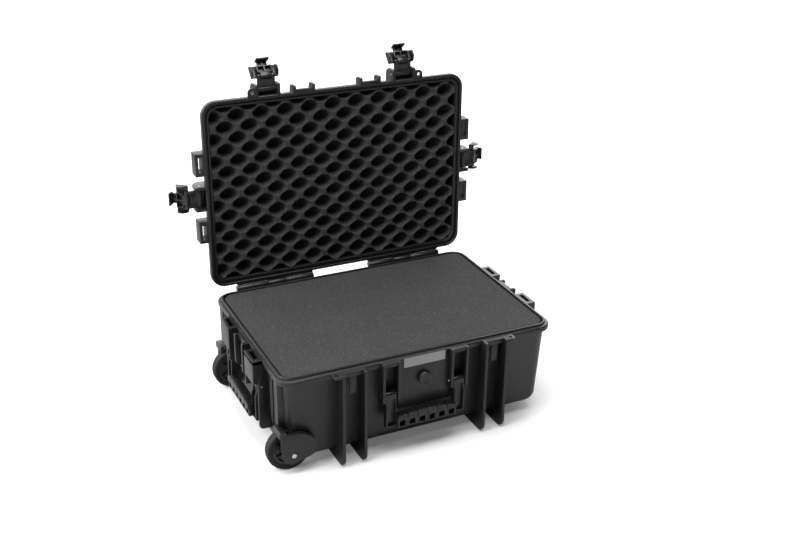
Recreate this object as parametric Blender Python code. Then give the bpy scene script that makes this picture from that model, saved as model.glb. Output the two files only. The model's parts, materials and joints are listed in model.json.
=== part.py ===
"""Wheeled carrying case: open hinged lid, foam inserts, latches, handles, wheels and a trolley handle."""
import math

import bmesh
import bpy
from mathutils import Matrix, Vector

# Driving dimensions, in millimetres. X runs along the case, -Y is the front, +Z is up, 0 is the floor.
MM = 0.001
RIM_LENGTH = 576.0
RIM_WIDTH = 396.0
RIM_RADIUS = 30.0
MATE_Z = 201.0
BODY_FLOOR = 18.0
CLOSED_HEIGHT = 265.0
WALL = 4.0
GAP = 0.3
FLANGE = 11.5
LEDGE = 6.3
TONGUE_TOP = 205.0
HALF_X = RIM_LENGTH / 2
HALF_Y = RIM_WIDTH / 2

HINGE_Y = HALF_Y + 10.0
HINGE_Z = MATE_Z
LID_OPEN = math.radians(91.0)
KNUCKLE_RADIUS = 6.5
PIN_RADIUS = 2.0
BORE_RADIUS = 2.4
HINGE_SPAN = (65.0, 236.0)
LID_KNUCKLE = (127.0, 167.0)

LATCH_X = 149.5
LATCH_OUT = 11.0
LATCH_Z = 213.0
LEVER_OUT = 26.0
LEVER_TILT = -40.0
RIB_OUT = 17.0
RIB_NEAR = 19.0
RIB_FAR = 25.0

SIDE_HANDLE_Z = 143.0
FRONT_HANDLE_Z = 130.0
HANDLE_OUT = 1.5
ARM_NEAR = 61.0
ARM_FAR = 84.0
GRIP_BOTTOM = 62.0
FIN_NEAR = 53.5
FIN_FAR = 90.5
FIN_THICK = 5.5

LUG_OUT = 18.5
LUG_NEAR = 47.0
LUG_FAR = 95.0

WHEEL_RADIUS = 44.0
WHEEL_X = -265.5
WHEEL_NEAR = 155.0
WHEEL_FAR = 175.0

TUBE_Y = 80.0
TUBE_Z = 33.5
CHANNEL_HALF = 104.0
CHANNEL_TOP = 46.0
CHANNEL_START = -120.0

VALVE_X = -1.0
VALVE_Z = 152.0

PLASTIC = ("black_plastic", (0.018, 0.018, 0.020), 0.42, 0.0)
LATCH_PLASTIC = ("latch_plastic", (0.015, 0.015, 0.016), 0.38, 0.0)
STEEL = ("steel", (0.62, 0.62, 0.64), 0.28, 1.0)
TUBE_METAL = ("tube_aluminium", (0.55, 0.56, 0.58), 0.35, 1.0)
SOFT_FOAM = ("grey_foam", (0.060, 0.058, 0.060), 0.95, 0.0)
LID_FOAM = ("dark_foam", (0.030, 0.030, 0.032), 0.95, 0.0)
SEAL_RUBBER = ("seal_rubber", (0.012, 0.012, 0.012), 0.70, 0.0)
TYRE_RUBBER = ("tyre_rubber", (0.020, 0.020, 0.021), 0.60, 0.0)
PLATE_GREY = ("plate_grey", (0.42, 0.43, 0.44), 0.40, 0.3)


# ---- meshes -------------------------------------------------------------------------------------

def loft(loops):
    """Closed body through a list of loops, which all have the same number of points."""
    bm = bmesh.new()
    rings = [[bm.verts.new(point) for point in loop] for loop in loops]
    count = len(rings[0])
    for lower, upper in zip(rings, rings[1:]):
        for i in range(count):
            j = (i + 1) % count
            bm.faces.new((lower[i], lower[j], upper[j], upper[i]))
    bm.faces.new(rings[0])
    bm.faces.new(rings[-1])
    bmesh.ops.recalc_face_normals(bm, faces=bm.faces)
    return bm


def ring_loft(loops):
    """Closed ring through a list of loops, the last joined back to the first."""
    bm = bmesh.new()
    rings = [[bm.verts.new(point) for point in loop] for loop in loops]
    count = len(rings[0])
    for lower, upper in zip(rings, rings[1:] + rings[:1]):
        for i in range(count):
            j = (i + 1) % count
            bm.faces.new((lower[i], lower[j], upper[j], upper[i]))
    bmesh.ops.recalc_face_normals(bm, faces=bm.faces)
    return bm


def place(axis, a, b, along):
    """A point from its two coordinates across an axis and the one along it."""
    return {"x": (along, a, b), "y": (a, along, b), "z": (a, b, along)}[axis]


def extrusion(points, axis, start, end):
    """Prism of a flat outline, from start to end along an axis."""
    return loft([[place(axis, a, b, along) for a, b in points] for along in (start, end)])


def block(x, y, z):
    """Box between three pairs of limits."""
    return extrusion([(x[0], y[0]), (x[1], y[0]), (x[1], y[1]), (x[0], y[1])], "z", z[0], z[1])


def circle(centre, radius, segments=16, start=0.0, sweep=2 * math.pi):
    """Points around a circle, or along an arc of it."""
    whole = abs(sweep) > 2 * math.pi - 1e-6
    steps = segments if whole else segments + 1
    turns = [start + sweep * i / segments for i in range(steps)]
    return [(centre[0] + radius * math.cos(t), centre[1] + radius * math.sin(t)) for t in turns]


def cylinder(axis, centre, radius, start, end, segments=16):
    """Round bar along an axis."""
    return extrusion(circle(centre, radius, segments), axis, start, end)


def filleted(corners, steps=3):
    """Outline from (a, b, radius) corners, with each radius drawn as an arc."""
    points = []
    count = len(corners)
    for i, (a, b, radius) in enumerate(corners):
        if radius <= 0:
            points.append((a, b))
            continue
        here = Vector((a, b))
        before = (Vector(corners[i - 1][:2]) - here).normalized()
        after = (Vector(corners[(i + 1) % count][:2]) - here).normalized()
        half = math.acos(max(-1.0, min(1.0, before.dot(after)))) / 2
        centre = here + (before + after).normalized() * (radius / math.sin(half))
        first = here + before * (radius / math.tan(half)) - centre
        last = here + after * (radius / math.tan(half)) - centre
        turn = math.atan2(first.x * last.y - first.y * last.x, first.dot(last))
        for k in range(steps + 1):
            spoke = Matrix.Rotation(turn * k / steps, 2) @ first
            points.append((centre.x + spoke.x, centre.y + spoke.y))
    return points


def turned(axis, centre, profile, segments=24):
    """Ring turned around an axis from a closed profile of (radius, along) points."""
    loops = []
    for radius, along in profile:
        loops.append([place(axis, a, b, along) for a, b in circle(centre, radius, segments)])
    return ring_loft(loops)


def outline(inset, z, steps=4):
    """Rounded outline of the rim, moved inwards by inset, at height z."""
    half_x = HALF_X - inset
    half_y = HALF_Y - inset
    radius = max(RIM_RADIUS - 0.6 * inset, 8.0)
    points = []
    for quarter, (sx, sy) in enumerate(((1, 1), (-1, 1), (-1, -1), (1, -1))):
        centre = (sx * (half_x - radius), sy * (half_y - radius))
        points += circle(centre, radius, steps, quarter * math.pi / 2, math.pi / 2)
    return [(x, y, z) for x, y in points]


def boolean(body, tool, operation):
    """Unite a tool with a body, or cut it out."""
    pair = []
    for bm in (body, tool):
        mesh = bpy.data.meshes.new("operand")
        bm.to_mesh(mesh)
        bm.free()
        operand = bpy.data.objects.new("operand", mesh)
        bpy.context.scene.collection.objects.link(operand)
        pair.append(operand)
    modifier = pair[0].modifiers.new("boolean", "BOOLEAN")
    modifier.operation = operation
    modifier.solver = "EXACT"
    modifier.object = pair[1]
    graph = bpy.context.evaluated_depsgraph_get()
    result = bpy.data.meshes.new_from_object(pair[0].evaluated_get(graph))
    bm = bmesh.new()
    bm.from_mesh(result)
    bpy.data.meshes.remove(result)
    for operand in pair:
        mesh = operand.data
        bpy.data.objects.remove(operand)
        bpy.data.meshes.remove(mesh)
    bmesh.ops.remove_doubles(bm, verts=bm.verts, dist=0.01)
    return bm


def united(body, *parts):
    """Body with every part added to it."""
    for part in parts:
        body = boolean(body, part, "UNION")
    return body


def cut(body, *tools):
    """Body with every tool cut out of it."""
    for tool in tools:
        body = boolean(body, tool, "DIFFERENCE")
    return body


# ---- objects ------------------------------------------------------------------------------------

def material(look):
    """The material of a look, made once."""
    name, colour, roughness, metallic = look
    if name in bpy.data.materials:
        return bpy.data.materials[name]
    made = bpy.data.materials.new(name)
    made.use_nodes = True
    shader = made.node_tree.nodes["Principled BSDF"]
    shader.inputs["Base Color"].default_value = (*colour, 1.0)
    shader.inputs["Roughness"].default_value = roughness
    shader.inputs["Metallic"].default_value = metallic
    return made


def frame(name, position, parent=None, parent_position=(0, 0, 0), turn=0.0, axis="X"):
    """Empty that carries a moving group, placed in its parent's frame."""
    empty = bpy.data.objects.new(name, None)
    bpy.context.scene.collection.objects.link(empty)
    offset = (Vector(position) - Vector(parent_position)) * MM
    empty.parent = parent
    empty.matrix_basis = Matrix.Translation(offset) @ Matrix.Rotation(turn, 4, axis)
    return empty


def piece(name, bm, look, origin=(0, 0, 0), parent=None):
    """Named object of a mesh in millimetres; its own origin is at the given point."""
    bmesh.ops.translate(bm, verts=bm.verts, vec=-Vector(origin))
    bmesh.ops.scale(bm, verts=bm.verts, vec=(MM, MM, MM))
    bmesh.ops.recalc_face_normals(bm, faces=bm.faces)
    mesh = bpy.data.meshes.new(name)
    bm.to_mesh(mesh)
    bm.free()
    mesh.materials.append(material(look))
    mesh.shade_smooth()
    mesh.set_sharp_from_angle(angle=math.radians(32))
    made = bpy.data.objects.new(name, mesh)
    bpy.context.scene.collection.objects.link(made)
    made.parent = parent
    if parent is None:
        made.location = Vector(origin) * MM
    return made


# ---- base ---------------------------------------------------------------------------------------

BASE_SECTIONS = (
    (44, BODY_FLOOR), (30, BODY_FLOOR + 2), (21, BODY_FLOOR + 9), (16.5, BODY_FLOOR + 20),
    (8.5, MATE_Z - FLANGE), (1.2, MATE_Z - FLANGE), (0, MATE_Z - FLANGE + 1.2), (0, MATE_Z - 2.6),
    (0.7, MATE_Z - 1), (2.4, MATE_Z - GAP), (LEDGE, MATE_Z - GAP), (LEDGE + 0.6, TONGUE_TOP),
    (LEDGE + 3.3, TONGUE_TOP), (LEDGE + 3.9, MATE_Z - 1), (8.5 + WALL, MATE_Z - FLANGE - 0.5),
    (16.5 + WALL, BODY_FLOOR + 21), (25, BODY_FLOOR + 11), (33, BODY_FLOOR + 5.5), (46, BODY_FLOOR + WALL),
)


def span(side, near, far):
    """Limits from near to far on one side of the middle."""
    return (side * near, side * far) if side > 0 else (side * far, side * near)


def front_ribs():
    """Four upright ribs on the front wall that run under the body as feet."""
    profile = filleted([
        (-HALF_Y - RIB_OUT, 0, 18), (-HALF_Y - RIB_OUT, MATE_Z - 0.5, 2), (-HALF_Y + 8, MATE_Z - 0.5, 0),
        (-HALF_Y + 18, BODY_FLOOR + 22, 0), (-HALF_Y + 23.5, BODY_FLOOR + 9.5, 0),
        (-HALF_Y + 38, BODY_FLOOR + 2.5, 0), (-110, BODY_FLOOR + 2.5, 0), (-112, 0, 6),
    ])
    ribs = []
    for side in (1, -1):
        for across in (-RIB_FAR, RIB_NEAR):
            start = side * LATCH_X + across
            ribs.append(extrusion(profile, "x", start, start + RIB_FAR - RIB_NEAR))
    return ribs


def rear_feet():
    """Four feet under the rear edge, in line with the front ribs."""
    profile = filleted([
        (HALF_Y - 6, 0, 12), (112, 0, 6), (110, BODY_FLOOR + 2.5, 0), (HALF_Y - 38, BODY_FLOOR + 2.5, 0),
        (HALF_Y - 23.5, BODY_FLOOR + 9.5, 0), (HALF_Y - 18, BODY_FLOOR + 22, 0), (HALF_Y - 17, 60, 0),
        (HALF_Y - 6, 60, 2),
    ])
    feet = []
    for side in (1, -1):
        for across in (-RIB_FAR, RIB_NEAR):
            start = side * LATCH_X + across
            feet.append(extrusion(profile, "x", start, start + RIB_FAR - RIB_NEAR))
    return feet


def front_keepers():
    """Hanging keeper plates between the ribs, each under a strip that joins the ribs."""
    parts = []
    for side in (1, -1):
        middle = side * LATCH_X
        parts.append(block((middle - RIB_NEAR - 1, middle + RIB_NEAR + 1), (-HALF_Y - 6.5, -HALF_Y + 6),
                           (MATE_Z - 11, MATE_Z - 1)))
        parts.append(block((middle - 7, middle + 7), (-HALF_Y - 6.5, -HALF_Y - 3.5), (154.6, MATE_Z - 10)))
    return parts


def side_keepers():
    """Guard ribs and a keeper plate for the latch at each end."""
    parts = []
    for side in (1, -1):
        profile = [(side * (HALF_X - 8), MATE_Z - 2), (side * (HALF_X + 15), MATE_Z - 0.5),
                   (side * (HALF_X + 15), 140), (side * (HALF_X + 8), 130), (side * (HALF_X - 12), 130)]
        for across in (-RIB_FAR, RIB_NEAR):
            parts.append(extrusion(profile, "y", across, across + RIB_FAR - RIB_NEAR))
        parts.append(block(span(side, HALF_X - 6, HALF_X + 6.5), (-RIB_NEAR - 1, RIB_NEAR + 1),
                           (MATE_Z - 11, MATE_Z - 1)))
        parts.append(block(span(side, HALF_X + 3.5, HALF_X + 6.5), (-7, 7), (154.6, MATE_Z - 10)))
        parts.append(block(span(side, HALF_X - 12, HALF_X + 8), (-RIB_NEAR - 1, RIB_NEAR + 1), (130, 134)))
    return parts


def front_panel():
    """Raised middle panel of the front, with a fin and a top strip on each side for the handle."""
    panel = [(-HALF_Y - 1, 92), (-HALF_Y - 1, MATE_Z - 0.5), (-HALF_Y + 8, MATE_Z - 0.5), (-HALF_Y + 15, 92)]
    parts = [extrusion(panel, "x", -FIN_NEAR - 1, FIN_NEAR + 1)]
    fin = filleted([(-HALF_Y - 11, 119, 6), (-HALF_Y - 11, MATE_Z - 0.5, 2), (-HALF_Y + 8, MATE_Z - 0.5, 0),
                    (-HALF_Y + 13, 108, 0)])
    for side in (1, -1):
        for near in (FIN_NEAR, FIN_FAR - FIN_THICK):
            limits = span(side, near, near + FIN_THICK)
            parts.append(extrusion(fin, "x", limits[0], limits[1]))
        parts.append(block(span(side, FIN_NEAR + 1, FIN_FAR - 1), (-HALF_Y - 8, -HALF_Y + 6),
                           (MATE_Z - 9, MATE_Z - 1)))
    return parts


def padlock_ears(z):
    """Pierced ears beside the outer front ribs, as bodies and holes."""
    ears = []
    holes = []
    for side in (1, -1):
        limits = span(side, LATCH_X + RIB_FAR - 1, LATCH_X + RIB_FAR + 17)
        ears.append(extrusion(filleted([
            (limits[0], -HALF_Y + 6, 0), (limits[0], -HALF_Y - 17, 6 if side < 0 else 0),
            (limits[1], -HALF_Y - 17, 6 if side > 0 else 0), (limits[1], -HALF_Y + 6, 0),
        ]), "z", z[0], z[1]))
        centre = (side * (LATCH_X + RIB_FAR + 8.5), -HALF_Y - 8.5)
        holes.append(cylinder("z", centre, 3.6, z[0] - 1, z[1] + 1, 10))
    return ears, holes


def end_boxes():
    """Open boxes at both ends; at the wheel end their outer fins run down beside the handle."""
    parts = []
    for end in (1, -1):
        for side in (1, -1):
            parts.append(block(span(end, HALF_X - 8, HALF_X + LUG_OUT), span(side, LUG_NEAR, LUG_FAR + 2),
                               (MATE_Z - 9, MATE_Z - 0.5)))
            parts.append(block(span(end, HALF_X + LUG_OUT - 3.5, HALF_X + LUG_OUT),
                               span(side, LUG_NEAR, LUG_FAR + 2), (151, MATE_Z - 8)))
            parts.append(block(span(end, HALF_X - 11, HALF_X + LUG_OUT - 0.5),
                               span(side, LUG_NEAR, LUG_NEAR + 4), (151 if end > 0 else 128, MATE_Z - 8)))
            low = 151 if end > 0 else 50
            fin = filleted([(end * (HALF_X - 15), low, 0), (end * (HALF_X + 9), low, 8 if end < 0 else 0),
                            (end * (HALF_X + 9), 151, 0), (end * (HALF_X + LUG_OUT - 0.5), 151, 0),
                            (end * (HALF_X + LUG_OUT - 0.5), MATE_Z - 8, 0),
                            (end * (HALF_X - 9), MATE_Z - 8, 0)])
            limits = span(side, LUG_FAR - 3.5, LUG_FAR + 2)
            parts.append(extrusion(fin, "y", limits[0], limits[1]))
    return parts


def box_slots(z):
    """Slots through the tops of the end boxes or lugs."""
    slots = []
    for end in (1, -1):
        for side in (1, -1):
            slots.append(block(span(end, HALF_X + 3.5, HALF_X + 12), span(side, 56, 88), z))
    return slots


def base_hinge():
    """Hinge knuckles of the base with the webs that carry them."""
    parts = []
    for side in (1, -1):
        for near, far in ((HINGE_SPAN[0], LID_KNUCKLE[0] - 0.5), (LID_KNUCKLE[1] + 0.5, HINGE_SPAN[1])):
            limits = span(side, near, far)
            parts.append(cylinder("x", (HINGE_Y, HINGE_Z), KNUCKLE_RADIUS, limits[0], limits[1], 14))
            parts.append(block(limits, (HALF_Y - 4, HINGE_Y), (MATE_Z - 6.8, MATE_Z - 0.8)))
    return parts


def wheel_wells():
    """Solid corners that are then hollowed for the wheels, as bodies and cuts."""
    bodies = []
    cuts = []
    for side in (1, -1):
        bodies.append(block((-272, -210), span(side, 147, 186), (BODY_FLOOR + 3, 98)))
        cuts.append(block((-330, -215), span(side, 151.5, 230), (-5, 93.5)))
    return bodies, cuts


def base_shell():
    """Lower shell with its ribs, boxes, hinge knuckles, wheel wells and trolley channel."""
    body = loft([outline(inset, z) for inset, z in BASE_SECTIONS])
    wells, well_cuts = wheel_wells()
    hump = block((CHANNEL_START - WALL, HALF_X - 10), (-CHANNEL_HALF - WALL, CHANNEL_HALF + WALL),
                 (BODY_FLOOR + 1, CHANNEL_TOP + WALL))
    channel = block((CHANNEL_START, HALF_X + 30), (-CHANNEL_HALF, CHANNEL_HALF), (-5, CHANNEL_TOP))
    for raised in (*wells, hump):
        within = loft([outline(inset, z) for inset, z in BASE_SECTIONS[:5]])
        body = united(body, boolean(raised, within, "INTERSECT"))
    body = cut(body, *well_cuts, channel)
    ears, holes = padlock_ears((MATE_Z - 5.5, MATE_Z - 0.5))
    body = united(body, *front_ribs(), *rear_feet(), *front_panel(), *front_keepers(), *side_keepers(),
                  *end_boxes(), *ears, *base_hinge())
    pin_bores = [cylinder("x", (HINGE_Y, HINGE_Z), BORE_RADIUS, -HINGE_SPAN[1] - 5, HINGE_SPAN[1] + 5, 12),
                 cylinder("x", (-HALF_Y - HANDLE_OUT, FRONT_HANDLE_Z), BORE_RADIUS, -FIN_FAR - 5, FIN_FAR + 5, 12),
                 cylinder("y", (-HALF_X - HANDLE_OUT, SIDE_HANDLE_Z), BORE_RADIUS, -LUG_FAR - 8, LUG_FAR + 8, 12)]
    valve_bore = cylinder("y", (VALVE_X, VALVE_Z), 7.0, -HALF_Y - 10, -HALF_Y + 25, 16)
    axle_bores = [cylinder("y", (WHEEL_X, WHEEL_RADIUS), 4.4, *span(side, 140, 160), 12) for side in (1, -1)]
    body = cut(body, *holes, *box_slots((MATE_Z - 20, MATE_Z + 5)), *pin_bores, valve_bore, *axle_bores)
    return piece("base_shell", body, PLASTIC)


def wheel_set(side, label):
    """Wheel housing, hub, tyre, bush and axle at one corner."""
    centre = (WHEEL_X, WHEEL_RADIUS)
    outer = HALF_Y - 1.5
    cover_outline = filleted([
        (-220, 38, 10), (-226, 66, 20), (-246, 97, 20), (-302, 100, 6), (-302, 84, 3), (-292, 84, 6),
        (-286, 36, 14), (-270, 24, 12),
    ])
    wall = HALF_Y - 12.5
    cover = extrusion(cover_outline, "y", *span(side, wall, outer))
    bridge = extrusion(filleted([(-302, 84, 3), (-302, 100, 6), (-275.6, 100, 0), (-275.6, 94.5, 0),
                                 (-288, 94.5, 0), (-291, 84, 0)]), "y", *span(side, 161, wall + 1))
    pocket = cylinder("y", centre, 30, *span(side, wall - 1, outer - 5), 16)
    boss = cylinder("y", centre, 9, *span(side, WHEEL_FAR + 0.6, outer - 2), 12)
    body = united(cut(cover, pocket), boss, bridge)
    body = cut(body, cylinder("y", centre, 4.4, *span(side, WHEEL_FAR, outer + 5), 12))
    piece(f"wheel_housing_{label}", body, PLASTIC)

    axis = (WHEEL_X, side * (WHEEL_NEAR + WHEEL_FAR) / 2, WHEEL_RADIUS)
    hub = turned("y", centre, [(6.0, side * WHEEL_NEAR), (12, side * WHEEL_NEAR), (13, side * 159),
                               (27, side * 159), (28, side * 156), (33, side * 156), (33, side * 174),
                               (28, side * 174), (27, side * 171), (13, side * 171),
                               (12, side * WHEEL_FAR), (6.0, side * WHEEL_FAR)], 20)
    tyre = turned("y", centre, [(33.3, side * 156), (41, side * WHEEL_NEAR), (WHEEL_RADIUS, side * 158.5),
                                (WHEEL_RADIUS, side * 171.5), (41, side * WHEEL_FAR), (33.3, side * 174)])
    bush = turned("y", centre, [(4.3, side * WHEEL_NEAR), (5.7, side * WHEEL_NEAR),
                                (5.7, side * WHEEL_FAR), (4.3, side * WHEEL_FAR)], 16)
    axle = united(cylinder("y", centre, 4.0, *span(side, 146.5, outer + 0.5), 12),
                  cylinder("y", centre, 6.0, *span(side, outer + 0.3, outer + 2.3), 12))
    piece(f"wheel_hub_{label}", hub, LATCH_PLASTIC, axis)
    piece(f"wheel_tyre_{label}", tyre, TYRE_RUBBER, axis)
    piece(f"wheel_bush_{label}", bush, STEEL, axis)
    piece(f"wheel_axle_{label}", axle, STEEL, axis)


# ---- lid ----------------------------------------------------------------------------------------

LID_SECTIONS = (
    (46, CLOSED_HEIGHT), (30, CLOSED_HEIGHT - 2), (20, CLOSED_HEIGHT - 8), (15, CLOSED_HEIGHT - 18),
    (9, MATE_Z + 12.4), (1.2, MATE_Z + 12.4), (0, MATE_Z + 11.2), (0, MATE_Z + 2.4), (0.7, MATE_Z + 0.8),
    (2.4, MATE_Z), (LEDGE - 0.4, MATE_Z), (LEDGE - 0.4, MATE_Z + 7.6), (LEDGE + 4.3, MATE_Z + 7.6),
    (LEDGE + 4.3, MATE_Z + 3.2), (14.5, MATE_Z + 3.2), (15.2, MATE_Z + 12),
    (19.5, CLOSED_HEIGHT - 19), (25, CLOSED_HEIGHT - 10), (33, CLOSED_HEIGHT - 5), (48, CLOSED_HEIGHT - WALL),
)


def latch_cheeks(turn):
    """Pair of cheeks that carry a latch arm, drawn at the front and turned to their wall."""
    out = -HALF_Y if turn == 0 else -HALF_X
    profile = filleted([(out - 22, MATE_Z + GAP, 3), (out - 22, MATE_Z + 39, 18), (out + 14, MATE_Z + 39, 0),
                        (out + 12, MATE_Z + 11, 0), (out + 5, MATE_Z + 8.5, 0), (out + 5, MATE_Z + GAP, 0)])
    cheeks = []
    for near in (-RIB_FAR - 1, RIB_NEAR + 1):
        cheek = extrusion(profile, "x", near, near + RIB_FAR - RIB_NEAR)
        cheek = cut(cheek, cylinder("x", (out - LATCH_OUT, LATCH_Z), BORE_RADIUS, near - 1, near + 7, 12))
        cheeks.append(cheek)
    return cheeks


def moved(bm, turn, shift):
    """Mesh turned about Z and then shifted."""
    bmesh.ops.transform(bm, verts=bm.verts, matrix=Matrix.Translation(shift) @ Matrix.Rotation(turn, 4, "Z"))
    return bm


LATCHES = (
    ("front_left", 0.0, (-LATCH_X, -HALF_Y - LATCH_OUT)),
    ("front_right", 0.0, (LATCH_X, -HALF_Y - LATCH_OUT)),
    ("end_left", -math.pi / 2, (-HALF_X - LATCH_OUT, 0)),
    ("end_right", math.pi / 2, (HALF_X + LATCH_OUT, 0)),
)


def lid_fittings():
    """Cheeks, lugs, brackets, hinge leaves and padlock ears that stand on the lid's walls."""
    parts = []
    for _, turn, (x, y) in LATCHES:
        for cheek in latch_cheeks(turn):
            parts.append(moved(cheek, turn, (x if turn == 0 else 0, 0, 0)))
    for end in (1, -1):
        for side in (1, -1):
            lug = [(end * (HALF_X - 5), MATE_Z + GAP), (end * (HALF_X + LUG_OUT), MATE_Z + GAP),
                   (end * (HALF_X + LUG_OUT), MATE_Z + 28), (end * (HALF_X - 12), MATE_Z + 28),
                   (end * (HALF_X - 12), MATE_Z + 11), (end * (HALF_X - 5), MATE_Z + 8.5)]
            parts.append(extrusion(lug, "y", *span(side, LUG_NEAR + 1, LUG_FAR)))
    bracket = filleted([(-HALF_Y - 13, MATE_Z + GAP, 2), (-HALF_Y - 13, MATE_Z + 26, 10),
                        (-HALF_Y + 13, MATE_Z + 26, 0), (-HALF_Y + 12, MATE_Z + 11, 0),
                        (-HALF_Y + 5, MATE_Z + 8.5, 0), (-HALF_Y + 5, MATE_Z + GAP, 0)])
    for side in (1, -1):
        for near in (FIN_NEAR - 4, FIN_FAR):
            parts.append(extrusion(bracket, "x", *span(side, near, near + FIN_THICK)))
        parts.append(block(span(side, FIN_NEAR, FIN_FAR + 1), (-HALF_Y - 5, -HALF_Y + 2),
                           (MATE_Z + GAP, MATE_Z + 9)))
        leaf = [(side * HINGE_SPAN[0], HALF_Y - 3), (side * HINGE_SPAN[0], HALF_Y + 3.2),
                (side * (HINGE_SPAN[1] - 3), HALF_Y + 3.2), (side * (HINGE_SPAN[1] + 3), HALF_Y - 3)]
        parts.append(extrusion(leaf, "z", MATE_Z + GAP, MATE_Z + 12))
        limits = span(side, *LID_KNUCKLE)
        parts.append(cylinder("x", (HINGE_Y, HINGE_Z), KNUCKLE_RADIUS, *limits, 14))
        parts.append(block(limits, (HALF_Y - 3, HINGE_Y), (MATE_Z + 0.8, MATE_Z + 6.3)))
    return parts


def lid_shell(hinge):
    """Upper shell with its fittings."""
    body = loft([outline(inset, z) for inset, z in LID_SECTIONS])
    ears, holes = padlock_ears((MATE_Z + GAP, MATE_Z + 5.3))
    body = united(body, *lid_fittings(), *ears)
    pin_bore = cylinder("x", (HINGE_Y, HINGE_Z), BORE_RADIUS, -HINGE_SPAN[1] - 5, HINGE_SPAN[1] + 5, 12)
    body = cut(body, pin_bore, *holes, *box_slots((MATE_Z - 5, MATE_Z + 35)))
    piece("lid_shell", body, PLASTIC, hinge_point(), hinge)


def hinge_point():
    """A point on the lid's hinge axis."""
    return (0, HINGE_Y, HINGE_Z)


def lid_inserts(hinge):
    """Seal in the lid's groove and the foam in the lid."""
    inner = (LEDGE, LEDGE + 3.9)
    loops = [outline(inner[0], MATE_Z + 4.4), outline(inner[0], MATE_Z + 7.3),
             outline(inner[1], MATE_Z + 7.3), outline(inner[1], MATE_Z + 4.4)]
    piece("lid_seal", ring_loft(loops), SEAL_RUBBER, hinge_point(), hinge)
    foam = loft([outline(15.8, MATE_Z + 4), outline(16.2, MATE_Z + 12), outline(20.3, CLOSED_HEIGHT - 20),
                 outline(27, CLOSED_HEIGHT - 10.5), outline(36, CLOSED_HEIGHT - 5.8)])
    piece("lid_foam", foam, LID_FOAM, hinge_point(), hinge)


# ---- foam, plate and valve in the base ------------------------------------------------------------

def wall_inset(z):
    """Inset of the base's inner wall at height z."""
    slope = 8.0 / (MATE_Z - FLANGE - BODY_FLOOR - 20)
    return 8.5 + WALL + (MATE_Z - FLANGE - z) * slope


def foam_layers():
    """Three loose foam layers that fill the base."""
    split = (104.0, 152.0, MATE_Z + 2.4)
    top = [outline(wall_inset(split[1]) + 1, split[1] + 0.4), outline(13.6, MATE_Z - FLANGE),
           outline(12.6, split[2] - 0.8), outline(13.6, split[2])]
    piece("foam_top", loft(top), SOFT_FOAM)
    middle = [outline(wall_inset(split[0]) + 1, split[0] + 0.4), outline(wall_inset(split[1]) + 1, split[1])]
    piece("foam_middle", loft(middle), SOFT_FOAM)
    low = BODY_FLOOR + WALL + 0.6
    bottom = loft([outline(48, low), outline(35, low + 2), outline(27, low + 8), outline(22, BODY_FLOOR + 22),
                   outline(wall_inset(split[0]) + 1, split[0])])
    notches = [block((-290, -209.4), span(side, 146.4, 200), (0, 98.6)) for side in (1, -1)]
    hump = block((CHANNEL_START - WALL - 0.6, 290), (-CHANNEL_HALF - WALL - 0.6, CHANNEL_HALF + WALL + 0.6),
                 (0, CHANNEL_TOP + WALL + 0.6))
    piece("foam_bottom", cut(bottom, *notches, hump), SOFT_FOAM)


def plate_and_valve():
    """Blank plate on the front and the pressure valve under it."""
    plate = block((-43.5, 43.5), (-HALF_Y - 2.2, -HALF_Y - 1.3), (180.5, MATE_Z - 1.5))
    piece("name_plate", plate, PLATE_GREY)
    centre = (VALVE_X, VALVE_Z)
    front = -HALF_Y - 1
    body = turned("y", centre, [(2.0, front + 14.5), (6.7, front + 14.5), (6.7, front - 0.2),
                                (9.5, front - 0.3), (9.5, front - 1.8), (2.0, front - 1.8)], 16)
    knob = turned("y", centre, [(10.2, front - 0.4), (14, front - 0.4), (14, front - 8.4), (13, front - 9.6),
                                (3.0, front - 9.6), (3.0, front - 5), (10.2, front - 5)], 20)
    axis = (VALVE_X, front, VALVE_Z)
    piece("valve_body", body, LATCH_PLASTIC, axis)
    piece("valve_knob", knob, LATCH_PLASTIC, axis)


# ---- latches ------------------------------------------------------------------------------------

def latch_arm():
    """Latch arm in its own frame: pin at the origin, pointing at -Y."""
    body = block((-18, 18), (-21, 1), (-4, 4))
    body = united(body, cylinder("x", (0, 0), 5.5, -18, 18, 14))
    for side in (1, -1):
        limits = span(side, 11, 18)
        body = united(body, cylinder("x", (-LEVER_OUT, 0), 4.8, *limits, 12),
                      block(limits, (-LEVER_OUT, -20), (-4, 4)))
    pocket = block((-12, 12), (-17, -8), (-6, -2))
    return cut(body, pocket, cylinder("x", (0, 0), BORE_RADIUS, -30, 30, 12),
               cylinder("x", (-LEVER_OUT, 0), 1.9, -30, 30, 10))


def latch_lever():
    """Latch lever in its own frame: its pin at the origin, pointing at -Y."""
    top = 10.5
    knuckle = filleted([(4.4, -4.4, 4.2), (4.4, 4.4, 4.2), (-8, 6, 0), (-8, -3.5, 0)])
    body = united(extrusion(knuckle, "x", -10.6, 10.6), block((-16, 16), (-22, -6.2), (-4, 8)),
                  block((-28.4, 28.4), (-26, -0.5), (6.9, top)), block((-10, 10), (-36.5, -20), (2, top - 1)),
                  block((-13.5, 13.5), (-36.2, -32.7), (-9, 7.2)))
    wing = filleted([(-1, top - 0.4, 0), (-1, 2, 2), (-8, -6, 3), (-19, -6, 3), (-25.5, 4, 3),
                     (-25.5, top - 0.4, 0)])
    for side in (1, -1):
        body = united(body, extrusion(wing, "x", *span(side, 25.5, 28.2)))
        body = cut(body, block(span(side, 3, 13), (-18, -9), (-6, 5)))
    return cut(body, cylinder("x", (0, 0), 1.9, -30, 30, 10))


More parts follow.
